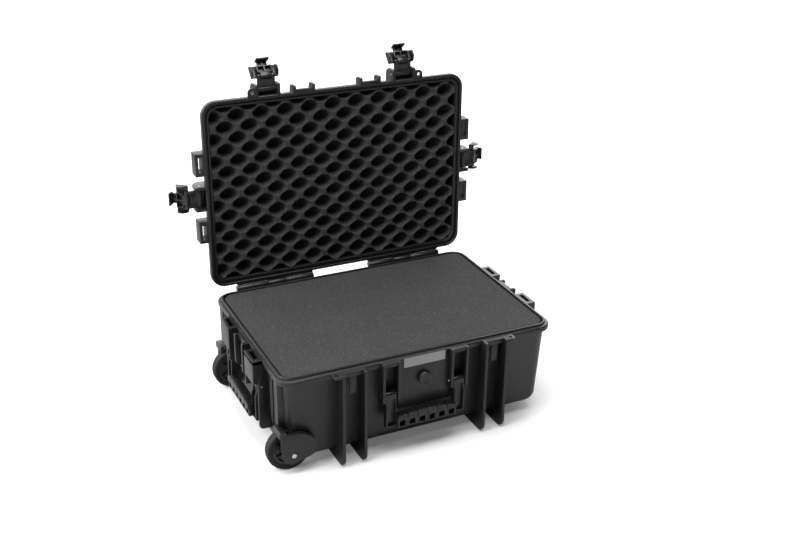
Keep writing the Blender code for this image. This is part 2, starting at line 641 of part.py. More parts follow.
def latches(hinge):
    """Four latches, each an arm and a lever on two pins."""
    for label, turn, (x, y) in LATCHES:
        pivot = (x, y, LATCH_Z)
        arm_frame = frame(f"latch_arm_axis_{label}", pivot, hinge, hinge_point(), turn, "Z")
        lever_frame = frame(f"latch_lever_axis_{label}", (0, -LEVER_OUT, 0), arm_frame,
                            turn=math.radians(LEVER_TILT))
        piece(f"latch_arm_{label}", latch_arm(), LATCH_PLASTIC, parent=arm_frame)
        piece(f"latch_lever_{label}", latch_lever(), LATCH_PLASTIC, parent=lever_frame)
        arm_pin = cylinder("x", (0, 0), PIN_RADIUS, -25.5, 25.5, 12)
        lever_pin = cylinder("x", (0, 0), 1.5, -16.8, 16.8, 10)
        piece(f"latch_pin_{label}", arm_pin, STEEL, parent=arm_frame)
        piece(f"lever_pin_{label}", lever_pin, STEEL, parent=lever_frame)


# ---- handles ------------------------------------------------------------------------------------

def carry_handle(pivot_z):
    """Carry handle in its own frame: pivot axis along X at the origin, hanging down at the front."""
    low = GRIP_BOTTOM - pivot_z
    parts = []
    side_view = filleted([(-10.5, low, 4), (-10.5, -27, 4), (-7, -18, 4), (-7, 7, 6), (6.5, 7, 6),
                          (6.5, -14, 5), (0, low, 4)])
    for side in (1, -1):
        parts.append(extrusion(side_view, "x", *span(side, ARM_NEAR, ARM_FAR)))
    arch = [(ARM_NEAR + 2, low), (ARM_NEAR + 2, low + 24)]
    arch += [(x, low + 24 + 6 * math.cos(x / 60 * math.pi / 2)) for x in (45, 30, 15, 0, -15, -30, -45)]
    arch += [(-ARM_NEAR - 2, low + 24), (-ARM_NEAR - 2, low)]
    parts.append(extrusion(arch, "y", -19, -1.5))
    body = united(*parts)
    for step in range(6):
        middle = (step - 2.5) * 21
        body = cut(body, block((middle - 6, middle + 6), (-25, 5), (low + 5, low + 17)))
    for side in (1, -1):
        limits = span(side, ARM_NEAR + 5, ARM_FAR - 5)
        body = cut(body, block(limits, (-16, -6), (low + 5, -10)))
    return cut(body, cylinder("x", (0, 0), BORE_RADIUS, -100, 100, 12))


def handles():
    """Front handle and wheel-end handle, each on two pins."""
    settings = (("front_handle", 0.0, (0, -HALF_Y - HANDLE_OUT, FRONT_HANDLE_Z), FIN_NEAR - 1.5, FIN_FAR - 0.5),
                ("side_handle", -math.pi / 2, (-HALF_X - HANDLE_OUT, 0, SIDE_HANDLE_Z), LUG_NEAR, LUG_FAR + 1.5))
    for name, turn, pivot, near, far in settings:
        carrier = frame(f"{name}_axis", pivot, turn=turn, axis="Z")
        piece(name, carry_handle(pivot[2]), LATCH_PLASTIC, parent=carrier)
        for label, side in (("right", 1), ("left", -1)):
            pin = cylinder("x", (0, 0), PIN_RADIUS, *span(side, near, far), 12)
            piece(f"{name}_pin_{label}", pin, STEEL, parent=carrier)


def hinge_pins():
    """Two steel pins through the hinge knuckles."""
    for label, side in (("right", 1), ("left", -1)):
        ends = span(side, HINGE_SPAN[0] + 1, HINGE_SPAN[1] - 1)
        piece(f"hinge_pin_{label}", cylinder("x", (HINGE_Y, HINGE_Z), PIN_RADIUS, *ends, 12), STEEL)


# ---- trolley handle -----------------------------------------------------------------------------

TUBE_SIZES = {"outer": (22, 15), "middle": (18.8, 11.8), "inner": (15.6, 8.6)}
TUBE_SPANS = {"outer": (-110, 263), "middle": (-104, 272), "inner": (-98, 283)}
TUBE_WALL = 1.2
TROLLEY_FACE = 274.0


def tube(kind, side):
    """Rectangular tube of the trolley handle."""
    width, height = TUBE_SIZES[kind]
    start, end = TUBE_SPANS[kind]
    loops = []
    for along, shrink in ((start, 0), (end, 0), (end, TUBE_WALL), (start, TUBE_WALL)):
        half_w = width / 2 - shrink
        half_h = height / 2 - shrink
        radius = max(2.5 - shrink, 0.8)
        corners = [(side * TUBE_Y + sy * half_w, TUBE_Z + sz * half_h, radius)
                   for sy, sz in ((1, 1), (-1, 1), (-1, -1), (1, -1))]
        loops.append([(along, a, b) for a, b in filleted(corners, 2)])
    return ring_loft(loops)


def trolley():
    """Telescopic handle under the base, pushed in, with its tray, bezel, grip and button."""
    tray = block((CHANNEL_START + 0.5, 266), (-CHANNEL_HALF + 0.5, CHANNEL_HALF - 0.5),
                 (BODY_FLOOR + 0.2, BODY_FLOOR + 3))
    walls = []
    for side in (1, -1):
        for near in (TUBE_Y - 14.5, TUBE_Y + 11.5):
            walls.append(block((CHANNEL_START + 0.5, 262), span(side, near, near + 3),
                               (BODY_FLOOR + 2, CHANNEL_TOP - 4)))
    piece("trolley_tray", united(tray, *walls), PLASTIC)
    bezel = block((264, 271), (-CHANNEL_HALF + 0.4, CHANNEL_HALF - 0.4), (BODY_FLOOR + 3.4, CHANNEL_TOP - 0.4))
    width, height = TUBE_SIZES["middle"]
    holes = [block((255, 280), span(side, TUBE_Y - width / 2 - 0.4, TUBE_Y + width / 2 + 0.4),
                   (TUBE_Z - height / 2 - 0.4, TUBE_Z + height / 2 + 0.4)) for side in (1, -1)]
    piece("trolley_bezel", cut(bezel, *holes), PLASTIC)
    for kind in TUBE_SIZES:
        for label, side in (("rear", 1), ("front", -1)):
            piece(f"trolley_{kind}_tube_{label}", tube(kind, side), TUBE_METAL)
    grip = extrusion(filleted([(TROLLEY_FACE, 96, 6), (TROLLEY_FACE + 30, 96, 10), (TROLLEY_FACE + 30, -96, 10),
                               (TROLLEY_FACE, -96, 6), (TROLLEY_FACE, -66, 0), (TROLLEY_FACE + 14, -58, 6),
                               (TROLLEY_FACE + 14, 58, 6), (TROLLEY_FACE, 66, 0)]), "z", TUBE_Z - 9, TUBE_Z + 9)
    width, height = TUBE_SIZES["inner"]
    sockets = [block((260, 284), span(side, TUBE_Y - width / 2 - 0.4, TUBE_Y + width / 2 + 0.4),
                     (TUBE_Z - height / 2 - 0.4, TUBE_Z + height / 2 + 0.4)) for side in (1, -1)]
    well = block((TROLLEY_FACE + 22, TROLLEY_FACE + 40), (-18.4, 18.4), (TUBE_Z - 5.4, TUBE_Z + 5.4))
    piece("trolley_grip", cut(grip, *sockets, well), PLASTIC)
    button = block((TROLLEY_FACE + 26.6, TROLLEY_FACE + 32), (-18, 18), (TUBE_Z - 5, TUBE_Z + 5))
    piece("trolley_button", button, LATCH_PLASTIC)


def centred_on_floor():
    """Shift the whole case so that the box around it, lid open, stands centred on the origin."""
    bpy.context.view_layer.update()
    solids = [item for item in bpy.data.objects if item.type == "MESH"]
    corners = [item.matrix_world @ vertex.co for item in solids for vertex in item.data.vertices]
    low = Vector([min(corner[i] for corner in corners) for i in range(3)])
    high = Vector([max(corner[i] for corner in corners) for i in range(3)])
    shift = Vector((-(low.x + high.x) / 2, -(low.y + high.y) / 2, -low.z))
    for item in bpy.data.objects:
        if item.parent is None:
            item.location += shift
    return shift


def main():
    """Build the case."""
    for item in list(bpy.data.objects):
        bpy.data.objects.remove(item)
    base_shell()
    foam_layers()
    plate_and_valve()
    hinge_pins()
    handles()
    wheel_set(-1, "front")
    wheel_set(1, "rear")
    trolley()
    hinge = frame("lid_axis", hinge_point(), turn=-LID_OPEN)
    lid_shell(hinge)
    lid_inserts(hinge)
    latches(hinge)
    shift = centred_on_floor()
    print("shift of the case in millimetres", [round(value / MM, 3) for value in shift])


main()
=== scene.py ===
"""Looks of the wheeled carrying case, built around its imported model.

Shells, foam, latches, handles and wheels are modelled in millimetres and then set in the frame in metres.
"""
import json
import math

import bmesh
import bpy
import numpy as np
from mathutils import Matrix, Vector


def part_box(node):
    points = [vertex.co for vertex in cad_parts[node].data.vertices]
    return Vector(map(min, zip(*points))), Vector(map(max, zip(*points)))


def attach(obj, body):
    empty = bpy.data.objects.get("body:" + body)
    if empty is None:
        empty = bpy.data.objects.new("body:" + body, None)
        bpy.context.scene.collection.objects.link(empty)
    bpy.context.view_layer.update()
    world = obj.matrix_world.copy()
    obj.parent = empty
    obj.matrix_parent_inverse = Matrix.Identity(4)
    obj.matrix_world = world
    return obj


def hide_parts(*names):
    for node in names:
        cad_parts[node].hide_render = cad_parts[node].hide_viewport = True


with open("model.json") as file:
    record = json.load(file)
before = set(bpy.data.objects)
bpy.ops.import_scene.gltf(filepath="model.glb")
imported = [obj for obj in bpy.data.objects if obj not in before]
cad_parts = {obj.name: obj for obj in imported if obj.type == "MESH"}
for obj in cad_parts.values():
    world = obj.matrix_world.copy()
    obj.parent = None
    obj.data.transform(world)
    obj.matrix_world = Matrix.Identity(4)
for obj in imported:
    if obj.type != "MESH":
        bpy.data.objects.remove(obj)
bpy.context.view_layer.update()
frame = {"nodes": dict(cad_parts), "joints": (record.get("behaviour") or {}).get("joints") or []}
JOINTS = {joint["name"]: joint for joint in frame["joints"]}

# ---- sizes from the frame; pieces are modelled in millimetres in the closed case's own frame ---------
# X runs along the case, -Y is the front, +Z is up, the floor is 0 and the hinge lies behind the middle.
MM = 0.001
HINGE = Vector(JOINTS["lid_hinge"]["pos_m"])
HINGE_BEHIND_RIM = 10.0
SEAL_INSET = 6.3
SEAL_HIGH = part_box("lid_seal")[1]
FOAM_LOW, FOAM_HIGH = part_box("foam_top")
HALF_X = SEAL_HIGH.x / MM + SEAL_INSET
FOAM_INSET = 12.6
HALF_Y = (FOAM_HIGH.y - FOAM_LOW.y) / MM / 2 + FOAM_INSET
RIM_RADIUS = 30.0
MATE_Z = HINGE.z / MM
HINGE_Y = HALF_Y + HINGE_BEHIND_RIM
MIDDLE = Vector((0.0, HINGE.y - HINGE_Y * MM, 0.0))
BODY_FLOOR = 18.0
LID_HEIGHT = 64.0
LID_TOP = MATE_Z + LID_HEIGHT
WALL = 4.0
LID_OPEN = math.radians(JOINTS["lid_hinge"]["range_deg"][1])
LATCH_X = JOINTS["latch_arm_front_right_hinge"]["pos_m"][0] / MM
RIB_NEAR = 19.0
RIB_FAR = 25.0
FRONT_PIVOT_Z = JOINTS["front_handle_hinge"]["pos_m"][2] / MM
SIDE_PIVOT_Z = JOINTS["side_handle_hinge"]["pos_m"][2] / MM
HANDLE_OUT = 1.5
WHEEL_AT = Vector(JOINTS["wheel_front_spin"]["pos_m"]) / MM
LUG_OUT = 18.5
LEVER_TILT = math.radians(-40.0)
PIN_RADIUS = 2.0
PIN_BORE = 2.4
AXLE_BORE = 4.4
KNUCKLE_RADIUS = 6.5
BOX_UNDERSIDE = 151.0
KEEPER_TIP = 154.6
VALVE_AT = (-1.0, 152.0)
ROUND = 10
SHARP = math.radians(30)

CASE = Matrix.Translation(MIDDLE) @ Matrix.Scale(MM, 4)
OPENED = Matrix.Translation(HINGE) @ Matrix.Rotation(-LID_OPEN, 4, "X") @ Matrix.Translation(-HINGE)
LID = OPENED @ CASE


# ---- shader maths ------------------------------------------------------------------------------------

class Shade:
    """A shader socket that can be used in sums, products and comparisons."""

    def __init__(self, tree, socket):
        self.tree = tree
        self.socket = socket

    def math(self, operation, *others):
        """The result of a maths node on this value and the others."""
        node = self.tree.nodes.new("ShaderNodeMath")
        node.operation = operation
        for i, value in enumerate((self, *others)):
            if isinstance(value, Shade):
                self.tree.links.new(value.socket, node.inputs[i])
            else:
                node.inputs[i].default_value = value
        return Shade(self.tree, node.outputs[0])

    def __add__(self, other):
        return self.math("ADD", other)

    def __radd__(self, other):
        return self.math("ADD", other)

    def __sub__(self, other):
        return self.math("SUBTRACT", other)

    def __rsub__(self, other):
        return self.math("MULTIPLY", -1.0).math("ADD", other)

    def __mul__(self, other):
        return self.math("MULTIPLY", other)

    def __gt__(self, other):
        return self.math("GREATER_THAN", other)


class Finish:
    """A material under construction: its tree, its shader and the pattern space."""

    def __init__(self, name, colour, roughness, metallic=0.0, specular=0.5):
        self.material = bpy.data.materials.new(name)
        self.material.use_nodes = True
        self.tree = self.material.node_tree
        self.shader = self.tree.nodes["Principled BSDF"]
        self.set("Base Color", (*colour, 1.0))
        self.set("Roughness", roughness)
        self.set("Metallic", metallic)
        self.set("Specular IOR Level", specular)
        self.space = self.node("ShaderNodeTexCoord", output="Object")

    def set(self, socket, value):
        """Give a socket of the main shader a value or a link."""
        if isinstance(value, Shade):
            self.tree.links.new(value.socket, self.shader.inputs[socket])
        else:
            self.shader.inputs[socket].default_value = value

    def node(self, kind, output=0, settings=(), **inputs):
        """A node of a kind, its settings made first, then the values or links of its sockets."""
        made = self.tree.nodes.new(kind)
        for key, value in dict(settings).items():
            if key == "stops":
                ramp = made.color_ramp
                while len(ramp.elements) < len(value):
                    ramp.elements.new(0.5)
                for element, (place, grey) in zip(ramp.elements, value):
                    element.position = place
                    element.color = (grey, grey, grey, 1.0)
            else:
                setattr(made, key, value)
        for key, value in inputs.items():
            socket = made.inputs[int(key[1:]) if key[0] == "_" else key]
            if isinstance(value, Shade):
                self.tree.links.new(value.socket, socket)
            else:
                socket.default_value = value
        return Shade(self.tree, made.outputs[output])

    def noise(self, scale, detail=2.0, roughness=0.5):
        return self.node("ShaderNodeTexNoise", 0, Vector=self.space, Scale=scale, Detail=detail,
                         Roughness=roughness)

    def cells(self, scale, output="Distance"):
        return self.node("ShaderNodeTexVoronoi", output, Vector=self.space, Scale=scale)

    def ramp(self, value, stops):
        return self.node("ShaderNodeValToRGB", 0, {"stops": stops}, Fac=value)

    def blend(self, factor, first, second):
        """A colour between two colours."""
        ends = [(*end, 1.0) if isinstance(end, tuple) else end for end in (first, second)]
        return self.node("ShaderNodeMix", 2, {"data_type": "RGBA"}, _0=factor, _6=ends[0], _7=ends[1])

    def bump(self, height, strength, distance):
        normal = self.node("ShaderNodeBump", 0, Height=height, Strength=strength, Distance=distance)
        self.set("Normal", normal)


def moulded(name, dark, light, roughness, grain):
    """Moulded plastic with a fine eroded grain, faint flow clouds and dull handling marks."""
    made = Finish(name, dark, roughness)
    cloud = made.noise(9.0, 3.0)
    made.set("Base Color", made.blend(cloud, dark, light))
    marks = made.ramp(made.noise(38.0, 5.0, 0.62), ((0.46, 0.0), (0.72, 1.0)))
    made.set("Roughness", roughness - 0.05 + cloud * 0.08 + marks * 0.07)
    fine = made.noise(1900.0, 2.0)
    coarse = made.noise(760.0, 1.0)
    made.bump(fine * 0.6 + coarse * 0.4, grain, 0.0002)
    return made.material


def foam(name, dark, light, painted_glint, cell_size):
    """Open-cell foam: a pore texture with painted shade in each pore, soft tone changes, and painted
    highlights where cell walls catch the light.
    """
    made = Finish(name, dark, 0.95, specular=0.18)
    pores = made.cells(1.0 / cell_size)
    tone = made.noise(14.0, 4.0)
    body = made.blend(tone, dark, light)
    # Painted highlights: a few cells picked at random are lightened to the glint colour as small dots, where
    # cell walls would catch the light.
    pick = made.cells(1.0 / (cell_size * 1.5), output="Color")
    glint_cells = made.node("ShaderNodeSeparateColor", 0, Color=pick) > 0.88
    near = 1.0 - made.ramp(made.cells(1.0 / (cell_size * 1.5)), ((0.2, 0.0), (0.5, 1.0)))
    body = made.blend(glint_cells * near * made.noise(210.0) * 1.2, body, painted_glint)
    # Painted shade: the colour is darkened towards the middle of each pore, where shade falls inside the
    # cells.
    painted_pore_shade = made.ramp(pores, ((0.1, 0.62), (0.75, 1.0)))
    made.set("Base Color", made.node("ShaderNodeMix", 2, {"data_type": "RGBA", "blend_type": "MULTIPLY"},
                                     _0=0.8, _6=body, _7=painted_pore_shade))
    made.bump(pores * 0.7 + made.noise(420.0, 3.0) * 0.5, 0.8, cell_size)
    return made.material


def rubber(name, colour, roughness):
    """Rubber with a faint bloom and fine streaks."""
    made = Finish(name, colour, roughness, specular=0.4)
    bloom = made.noise(26.0, 5.0, 0.6)
    made.set("Base Color", made.blend(bloom, colour, tuple(2.1 * part for part in colour)))
    made.set("Roughness", roughness + bloom * 0.15)
    made.bump(made.noise(900.0, 3.0), 0.25, 0.0002)
    return made.material


def metal(name, colour, roughness, along):
    """Bright metal with fine drawn lines along one axis."""
    made = Finish(name, colour, roughness, metallic=1.0)
    stretch = [1600.0, 1600.0, 1600.0]
    stretch["XYZ".index(along)] = 22.0
    drawn = made.node("ShaderNodeMapping", 0, Vector=made.space, Scale=tuple(stretch))
    lines = made.node("ShaderNodeTexNoise", 0, Vector=drawn, Scale=1.0, Detail=2.0)
    made.set("Roughness", roughness - 0.06 + lines * 0.16)
    made.set("Base Color", made.blend(made.noise(60.0, 3.0), colour, tuple(0.82 * part for part in colour)))
    made.bump(lines, 0.12, 0.0001)
    return made.material


def plate_finish():
    """Blank printed plate: light satin grey with a very fine brushed look."""
    made = Finish("plate_grey", (0.30, 0.30, 0.31), 0.36, metallic=0.35)
    drawn = made.node("ShaderNodeMapping", 0, Vector=made.space, Scale=(40.0, 2600.0, 2600.0))
    lines = made.node("ShaderNodeTexNoise", 0, Vector=drawn, Scale=1.0, Detail=3.0)
    made.set("Base Color", made.blend(lines, (0.26, 0.26, 0.27), (0.36, 0.36, 0.37)))
    made.set("Roughness", 0.3 + lines * 0.18)
    made.bump(lines, 0.08, 0.0001)
    return made.material


SHELL_PLASTIC = moulded("shell_plastic", (0.0075, 0.0075, 0.0083), (0.0105, 0.0105, 0.0113), 0.37, 0.16)
FITTING_PLASTIC = moulded("fitting_plastic", (0.0065, 0.0065, 0.0070), (0.0095, 0.0095, 0.0100), 0.31, 0.10)
# The third colour of each foam is the painted highlight on its cell walls.
BASE_FOAM = foam("base_foam", (0.044, 0.042, 0.043), (0.058, 0.056, 0.057), (0.24, 0.23, 0.23), 0.0011)
LID_FOAM = foam("egg_crate_foam", (0.042, 0.042, 0.043), (0.054, 0.054, 0.056), (0.080, 0.080, 0.082), 0.0013)
SEAL_RUBBER = rubber("seal_rubber", (0.006, 0.006, 0.006), 0.62)
TYRE_RUBBER = rubber("tyre_rubber", (0.0045, 0.0045, 0.005), 0.55)
STEEL = metal("steel", (0.74, 0.74, 0.76), 0.26, "X")
TUBE_METAL = metal("tube_aluminium", (0.52, 0.53, 0.55), 0.34, "X")
PLATE_GREY = plate_finish()


# ---- modelling ---------------------------------------------------------------------------------------

def only(piece):
    """Select one object and nothing else."""
    bpy.ops.object.select_all(action="DESELECT")
    piece.select_set(True)
    bpy.context.view_layer.objects.active = piece


def settled(piece, matrix):
    """Move a piece by a matrix and bake the move into its mesh."""
    piece.matrix_world = matrix
    only(piece)
    bpy.ops.object.transform_apply(location=True, rotation=True, scale=True)
    return piece


def select_faces(piece, where):
    """In edit mode, select the faces whose normal passes a test."""
    mesh = bmesh.from_edit_mesh(piece.data)
    bpy.context.tool_settings.mesh_select_mode = (False, False, True)
    for item in (*mesh.verts, *mesh.edges, *mesh.faces):
        item.select = False
    for face in mesh.faces:
        if where(face.normal):
            face.select = True
    mesh.select_flush_mode()
    bmesh.update_edit_mesh(piece.data)


def apply_modifier(piece, kind, **settings):
    """Add a modifier, set it and apply it."""
    only(piece)
    modifier = piece.modifiers.new("work", kind)
    for key, value in settings.items():
        setattr(modifier, key, value)
    bpy.ops.object.modifier_apply(modifier="work")
    return piece


def soften(piece, width, segments=2):
    """Round every sharp edge a little."""
    return apply_modifier(piece, "BEVEL", width=width, segments=segments, limit_method="ANGLE",
                          angle_limit=SHARP, harden_normals=False)


def block(x, y, z, soft=0.7):
    """Box between limits, its edges softened."""
    size = [abs(limit[1] - limit[0]) for limit in (x, y, z)]
    middle = [(limit[0] + limit[1]) / 2 for limit in (x, y, z)]
    bpy.ops.mesh.primitive_cube_add(size=1, location=middle, scale=size)
    made = bpy.context.active_object
    bpy.ops.object.transform_apply(location=True, rotation=True, scale=True)
    return soften(made, soft) if soft else made


def rod(axis, centre, radius, start, end, sides=32, soft=0.0):
    """Round bar along an axis, its ends softened."""
    turn = {"x": (0, math.pi / 2, 0), "y": (math.pi / 2, 0, 0), "z": (0, 0, 0)}[axis]
    bpy.ops.mesh.primitive_cylinder_add(vertices=sides, radius=radius, depth=abs(end - start),
                                        location=at(axis, centre, (start + end) / 2), rotation=turn)
    made = bpy.context.active_object
    bpy.ops.object.transform_apply(location=True, rotation=True, scale=True)
    return soften(made, soft) if soft else made


def at(axis, across, along):
    """A point from its two coordinates across an axis and the one along it."""
    a, b = across
    return {"x": (along, a, b), "y": (a, along, b), "z": (a, b, along)}[axis]


def rounded(corners, steps=5):
    """Outline from (a, b, radius) corners, each radius drawn as an arc."""
    points = []
    for i, (a, b, radius) in enumerate(corners):
        if radius <= 0:
            points.append((a, b))
            continue
        here = Vector((a, b))
        before = (Vector(corners[i - 1][:2]) - here).normalized()
        after = (Vector(corners[(i + 1) % len(corners)][:2]) - here).normalized()
        half = math.acos(max(-1.0, min(1.0, before.dot(after)))) / 2
        centre = here + (before + after).normalized() * (radius / math.sin(half))
        first = here + before * (radius / math.tan(half)) - centre
        last = here + after * (radius / math.tan(half)) - centre
        turn = math.atan2(first.x * last.y - first.y * last.x, first.dot(last))
        for k in range(steps + 1):
            points.append(tuple(centre + Matrix.Rotation(turn * k / steps, 2) @ first))
    return points


def plate(corners, axis, start, end, soft=0.7, steps=5):
    """Flat outline thickened along an axis."""
    points = rounded(corners, steps)
    bpy.ops.mesh.primitive_circle_add(vertices=len(points), fill_type="NGON")
    made = bpy.context.active_object
    for vertex, point in zip(made.data.vertices, points):
        vertex.co = at(axis, point, start)
    bpy.ops.object.mode_set(mode="EDIT")
    bpy.ops.mesh.select_all(action="SELECT")
    bpy.ops.mesh.extrude_region_move(TRANSFORM_OT_translate={"value": at(axis, (0, 0), end - start)})
    bpy.ops.mesh.select_all(action="SELECT")
    bpy.ops.mesh.normals_make_consistent(inside=False)
    bpy.ops.object.mode_set(mode="OBJECT")
    return soften(made, soft) if soft else made


def turned(axis, profile, steps=64, centre=(0.0, 0.0)):
    """Ring spun around an axis from a closed profile of (radius, along) points."""
    bpy.ops.mesh.primitive_circle_add(vertices=len(profile), fill_type="NOTHING")
    made = bpy.context.active_object
    for vertex, (radius, along) in zip(made.data.vertices, profile):
        vertex.co = at(axis, (centre[0] + radius, centre[1]), along)
    bpy.ops.object.mode_set(mode="EDIT")
    bpy.ops.mesh.select_all(action="SELECT")
    bpy.ops.mesh.spin(steps=steps, angle=2 * math.pi, center=at(axis, centre, 0), axis=at(axis, (0, 0), 1))
    bpy.ops.mesh.select_all(action="SELECT")
    bpy.ops.mesh.remove_doubles(threshold=0.001)
    bpy.ops.mesh.normals_make_consistent(inside=False)
    bpy.ops.object.mode_set(mode="OBJECT")
    return made


def combine(body, tools, operation):
    """Add tools to a body, or cut them out of it, one after the other."""
    for tool in tools:
        modifier = body.modifiers.new("work", "BOOLEAN")
        modifier.operation = operation
        modifier.solver = "EXACT"
        modifier.object = tool
        only(body)
        bpy.ops.object.modifier_apply(modifier="work")
        bpy.data.objects.remove(tool)
    return body


def add(body, *tools):
    """Join tools to a body."""
    return combine(body, tools, "UNION")


def cut(body, *tools):
    """Cut tools out of a body."""
    return combine(body, tools, "DIFFERENCE")


def outline(inset, z):
    """Rounded outline of the rim, moved inwards by inset, at height z."""
    radius = max(RIM_RADIUS - 0.6 * inset, 8.0)
    points = []
    for quarter, (sx, sy) in enumerate(((1, 1), (-1, 1), (-1, -1), (1, -1))):
        for k in range(ROUND + 1):
            turn = (quarter + k / ROUND) * math.pi / 2
            points.append((sx * (HALF_X - inset - radius) + radius * math.cos(turn),
                           sy * (HALF_Y - inset - radius) + radius * math.sin(turn), z))
    return points


def shell(sections, ring=False):
    """Body lofted through (inset, z) sections of the rim's outline; a ring joins the last to the first."""
    mesh = bmesh.new()
    loops = [[mesh.verts.new(point) for point in outline(inset, z)] for inset, z in sections]
    pairs = zip(loops, loops[1:] + loops[:1]) if ring else zip(loops, loops[1:])
    for lower, upper in pairs:
        for i in range(len(lower)):
            j = (i + 1) % len(lower)
            mesh.faces.new((lower[i], lower[j], upper[j], upper[i]))
    if not ring:
        mesh.faces.new(loops[0])
        mesh.faces.new(loops[-1])
    bmesh.ops.recalc_face_normals(mesh, faces=mesh.faces)
    data = bpy.data.meshes.new("shell")
    mesh.to_mesh(data)
    mesh.free()
    made = bpy.data.objects.new("shell", data)
    bpy.context.scene.collection.objects.link(made)
    return made


def span(side, near, far):
    """Limits from near to far on one side of the middle."""
    return (side * near, side * far) if side > 0 else (side * far, side * near)


def placed(piece, name, matrix, material, slot, body, *nodes, angle=38):
    """Put a finished piece in its place on its body, with its finish, for the nodes that it stands for."""
    piece.name = name
    piece.data.name = name
    settled(piece, matrix)
    bpy.ops.object.shade_smooth_by_angle(angle=math.radians(angle))
    piece.data.materials.clear()
    piece.data.materials.append(material)
    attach(piece, body)
    if nodes:
        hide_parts(*nodes)
    return piece


def copied(piece):
    """A copy with its own mesh."""
    twin = piece.copy()
    twin.data = piece.data.copy()
    bpy.context.scene.collection.objects.link(twin)
    return twin


# ---- lower shell -------------------------------------------------------------------------------------

def front_ribs():
    """Upright ribs on the front that run under the body as feet, and the rear feet in line with them."""
    ribs = []
    for side in (1, -1):
        for across in (-RIB_FAR, RIB_NEAR):
            start = side * LATCH_X + across
            limits = (start, start + RIB_FAR - RIB_NEAR)
            ribs.append(plate([(-HALF_Y - 17, 0, 19), (-HALF_Y - 17, MATE_Z - 0.5, 3),
                               (-150, MATE_Z - 0.5, 0), (-110, BODY_FLOOR + 12, 0), (-110, 0, 7)],
                              "x", *limits, steps=8))
            ribs.append(plate([(HALF_Y - 6, 0, 13), (110, 0, 7), (110, BODY_FLOOR + 12, 0),
                               (HALF_Y - 30, 62, 0), (HALF_Y - 6, 62, 3)], "x", *limits))
    return ribs


def front_keepers():
    """Keeper plates for the front latches, each hanging from a strip that joins two ribs."""
    parts = []
    for side in (1, -1):
        middle = side * LATCH_X
        parts.append(block((middle - 20, middle + 20), (-HALF_Y - 6.5, -HALF_Y + 16),
                           (MATE_Z - 11, MATE_Z - 1)))
        parts.append(block((middle - 7, middle + 7), (-HALF_Y - 6.5, -HALF_Y - 3.5),
                           (KEEPER_TIP, MATE_Z - 10), soft=0.9))
    return parts


def end_keepers():
    """Guard ribs with a keeper plate for the latch at each end, closed by a bar below."""
    parts = []
    for side in (1, -1):
        inner = side * (HALF_X - 26)
        guard = [(inner, MATE_Z - 2, 0), (side * (HALF_X + 15), MATE_Z - 0.5, 3),
                 (side * (HALF_X + 15), 130, 13), (inner, 130, 0)]
        for across in (-RIB_FAR, RIB_NEAR):
            parts.append(plate(guard, "y", across, across + RIB_FAR - RIB_NEAR, steps=7))
        parts.append(block(span(side, HALF_X - 24, HALF_X + 6.5), (-20, 20), (MATE_Z - 11, MATE_Z - 1)))
        parts.append(block(span(side, HALF_X + 3.5, HALF_X + 6.5), (-7, 7), (KEEPER_TIP, MATE_Z - 10),
                           soft=0.9))
        parts.append(block(span(side, HALF_X - 24, HALF_X + 6), (-20, 20), (130, 134)))
    return parts


def front_panel():
    """Raised middle panel with a pair of fins and a top strip on each side for the handle."""
    parts = [block((-54.5, 54.5), (-HALF_Y - 1, -HALF_Y + 22), (92, MATE_Z - 0.5), soft=1.6)]
    fin = [(-HALF_Y - 11, 117, 7), (-HALF_Y - 11, MATE_Z - 0.5, 2), (-HALF_Y + 24, MATE_Z - 0.5, 0),
           (-HALF_Y + 24, 102, 0)]
    for side in (1, -1):
        for near in (53.5, 85.0):
            parts.append(plate(fin, "x", *span(side, near, near + 5.5)))
        parts.append(block(span(side, 54.5, 89.5), (-HALF_Y - 8, -HALF_Y + 16), (MATE_Z - 9, MATE_Z - 1)))
    return parts


def padlock_ears(z):
    """Pierced ears beside the outer front ribs, and the tools for their holes."""
    ears = []
    holes = []
    for side in (1, -1):
        near, far = LATCH_X + RIB_FAR - 1, LATCH_X + RIB_FAR + 17
        ears.append(plate([(side * near, -HALF_Y + 6, 0), (side * near, -HALF_Y - 17, 0),
                           (side * far, -HALF_Y - 17, 8), (side * far, -HALF_Y + 6, 0)], "z", *z))
        holes.append(rod("z", (side * (near + 9.5), -HALF_Y - 8.5), 3.6, z[0] - 4, z[1] + 4, 24))
    return ears, holes


def end_boxes():
    """Open boxes at both ends; at the wheel end their outer fins run down beside the handle."""
    parts = []
    for end in (1, -1):
        wheeled = end < 0
        for side in (1, -1):
            out = HALF_X + LUG_OUT
            parts.append(block(span(end, HALF_X - 24, out), span(side, 47, 97), (MATE_Z - 9, MATE_Z - 0.5)))
            parts.append(block(span(end, out - 3.5, out), span(side, 47, 97), (BOX_UNDERSIDE, MATE_Z - 2)))
            parts.append(block(span(end, HALF_X - 26, out - 0.4), span(side, 47, 51),
                               (128 if wheeled else BOX_UNDERSIDE, MATE_Z - 2)))
            low = 50 if wheeled else BOX_UNDERSIDE
            fin = [(end * (HALF_X - 26), low, 0), (end * (HALF_X + 9), low, 9 if wheeled else 0),
                   (end * (HALF_X + 9), BOX_UNDERSIDE, 4 if wheeled else 0),
                   (end * (out - 0.3), BOX_UNDERSIDE, 0),
                   (end * (out - 0.3), MATE_Z - 2, 0), (end * (HALF_X - 26), MATE_Z - 2, 0)]
            parts.append(plate(fin, "y", *span(side, 91.5, 97), soft=0.9))
    return parts


def wheel_mounts():
    """Raised pads on the end wall above each wheel's bracket, with a thin rib beside the pad."""
    parts = []
    for side in (1, -1):
        parts.append(block((-HALF_X + 2, -HALF_X + 30), span(side, 151, 171), (96, MATE_Z - 9), soft=1.4))
        parts.append(block((-HALF_X + 3.5, -HALF_X + 30), span(side, 128, 132), (96, MATE_Z - 9), soft=0.9))
        parts.append(block((-HALF_X + 2.5, -HALF_X + 30), span(side, 138, 142), (88, MATE_Z - 9), soft=0.9))
    return parts


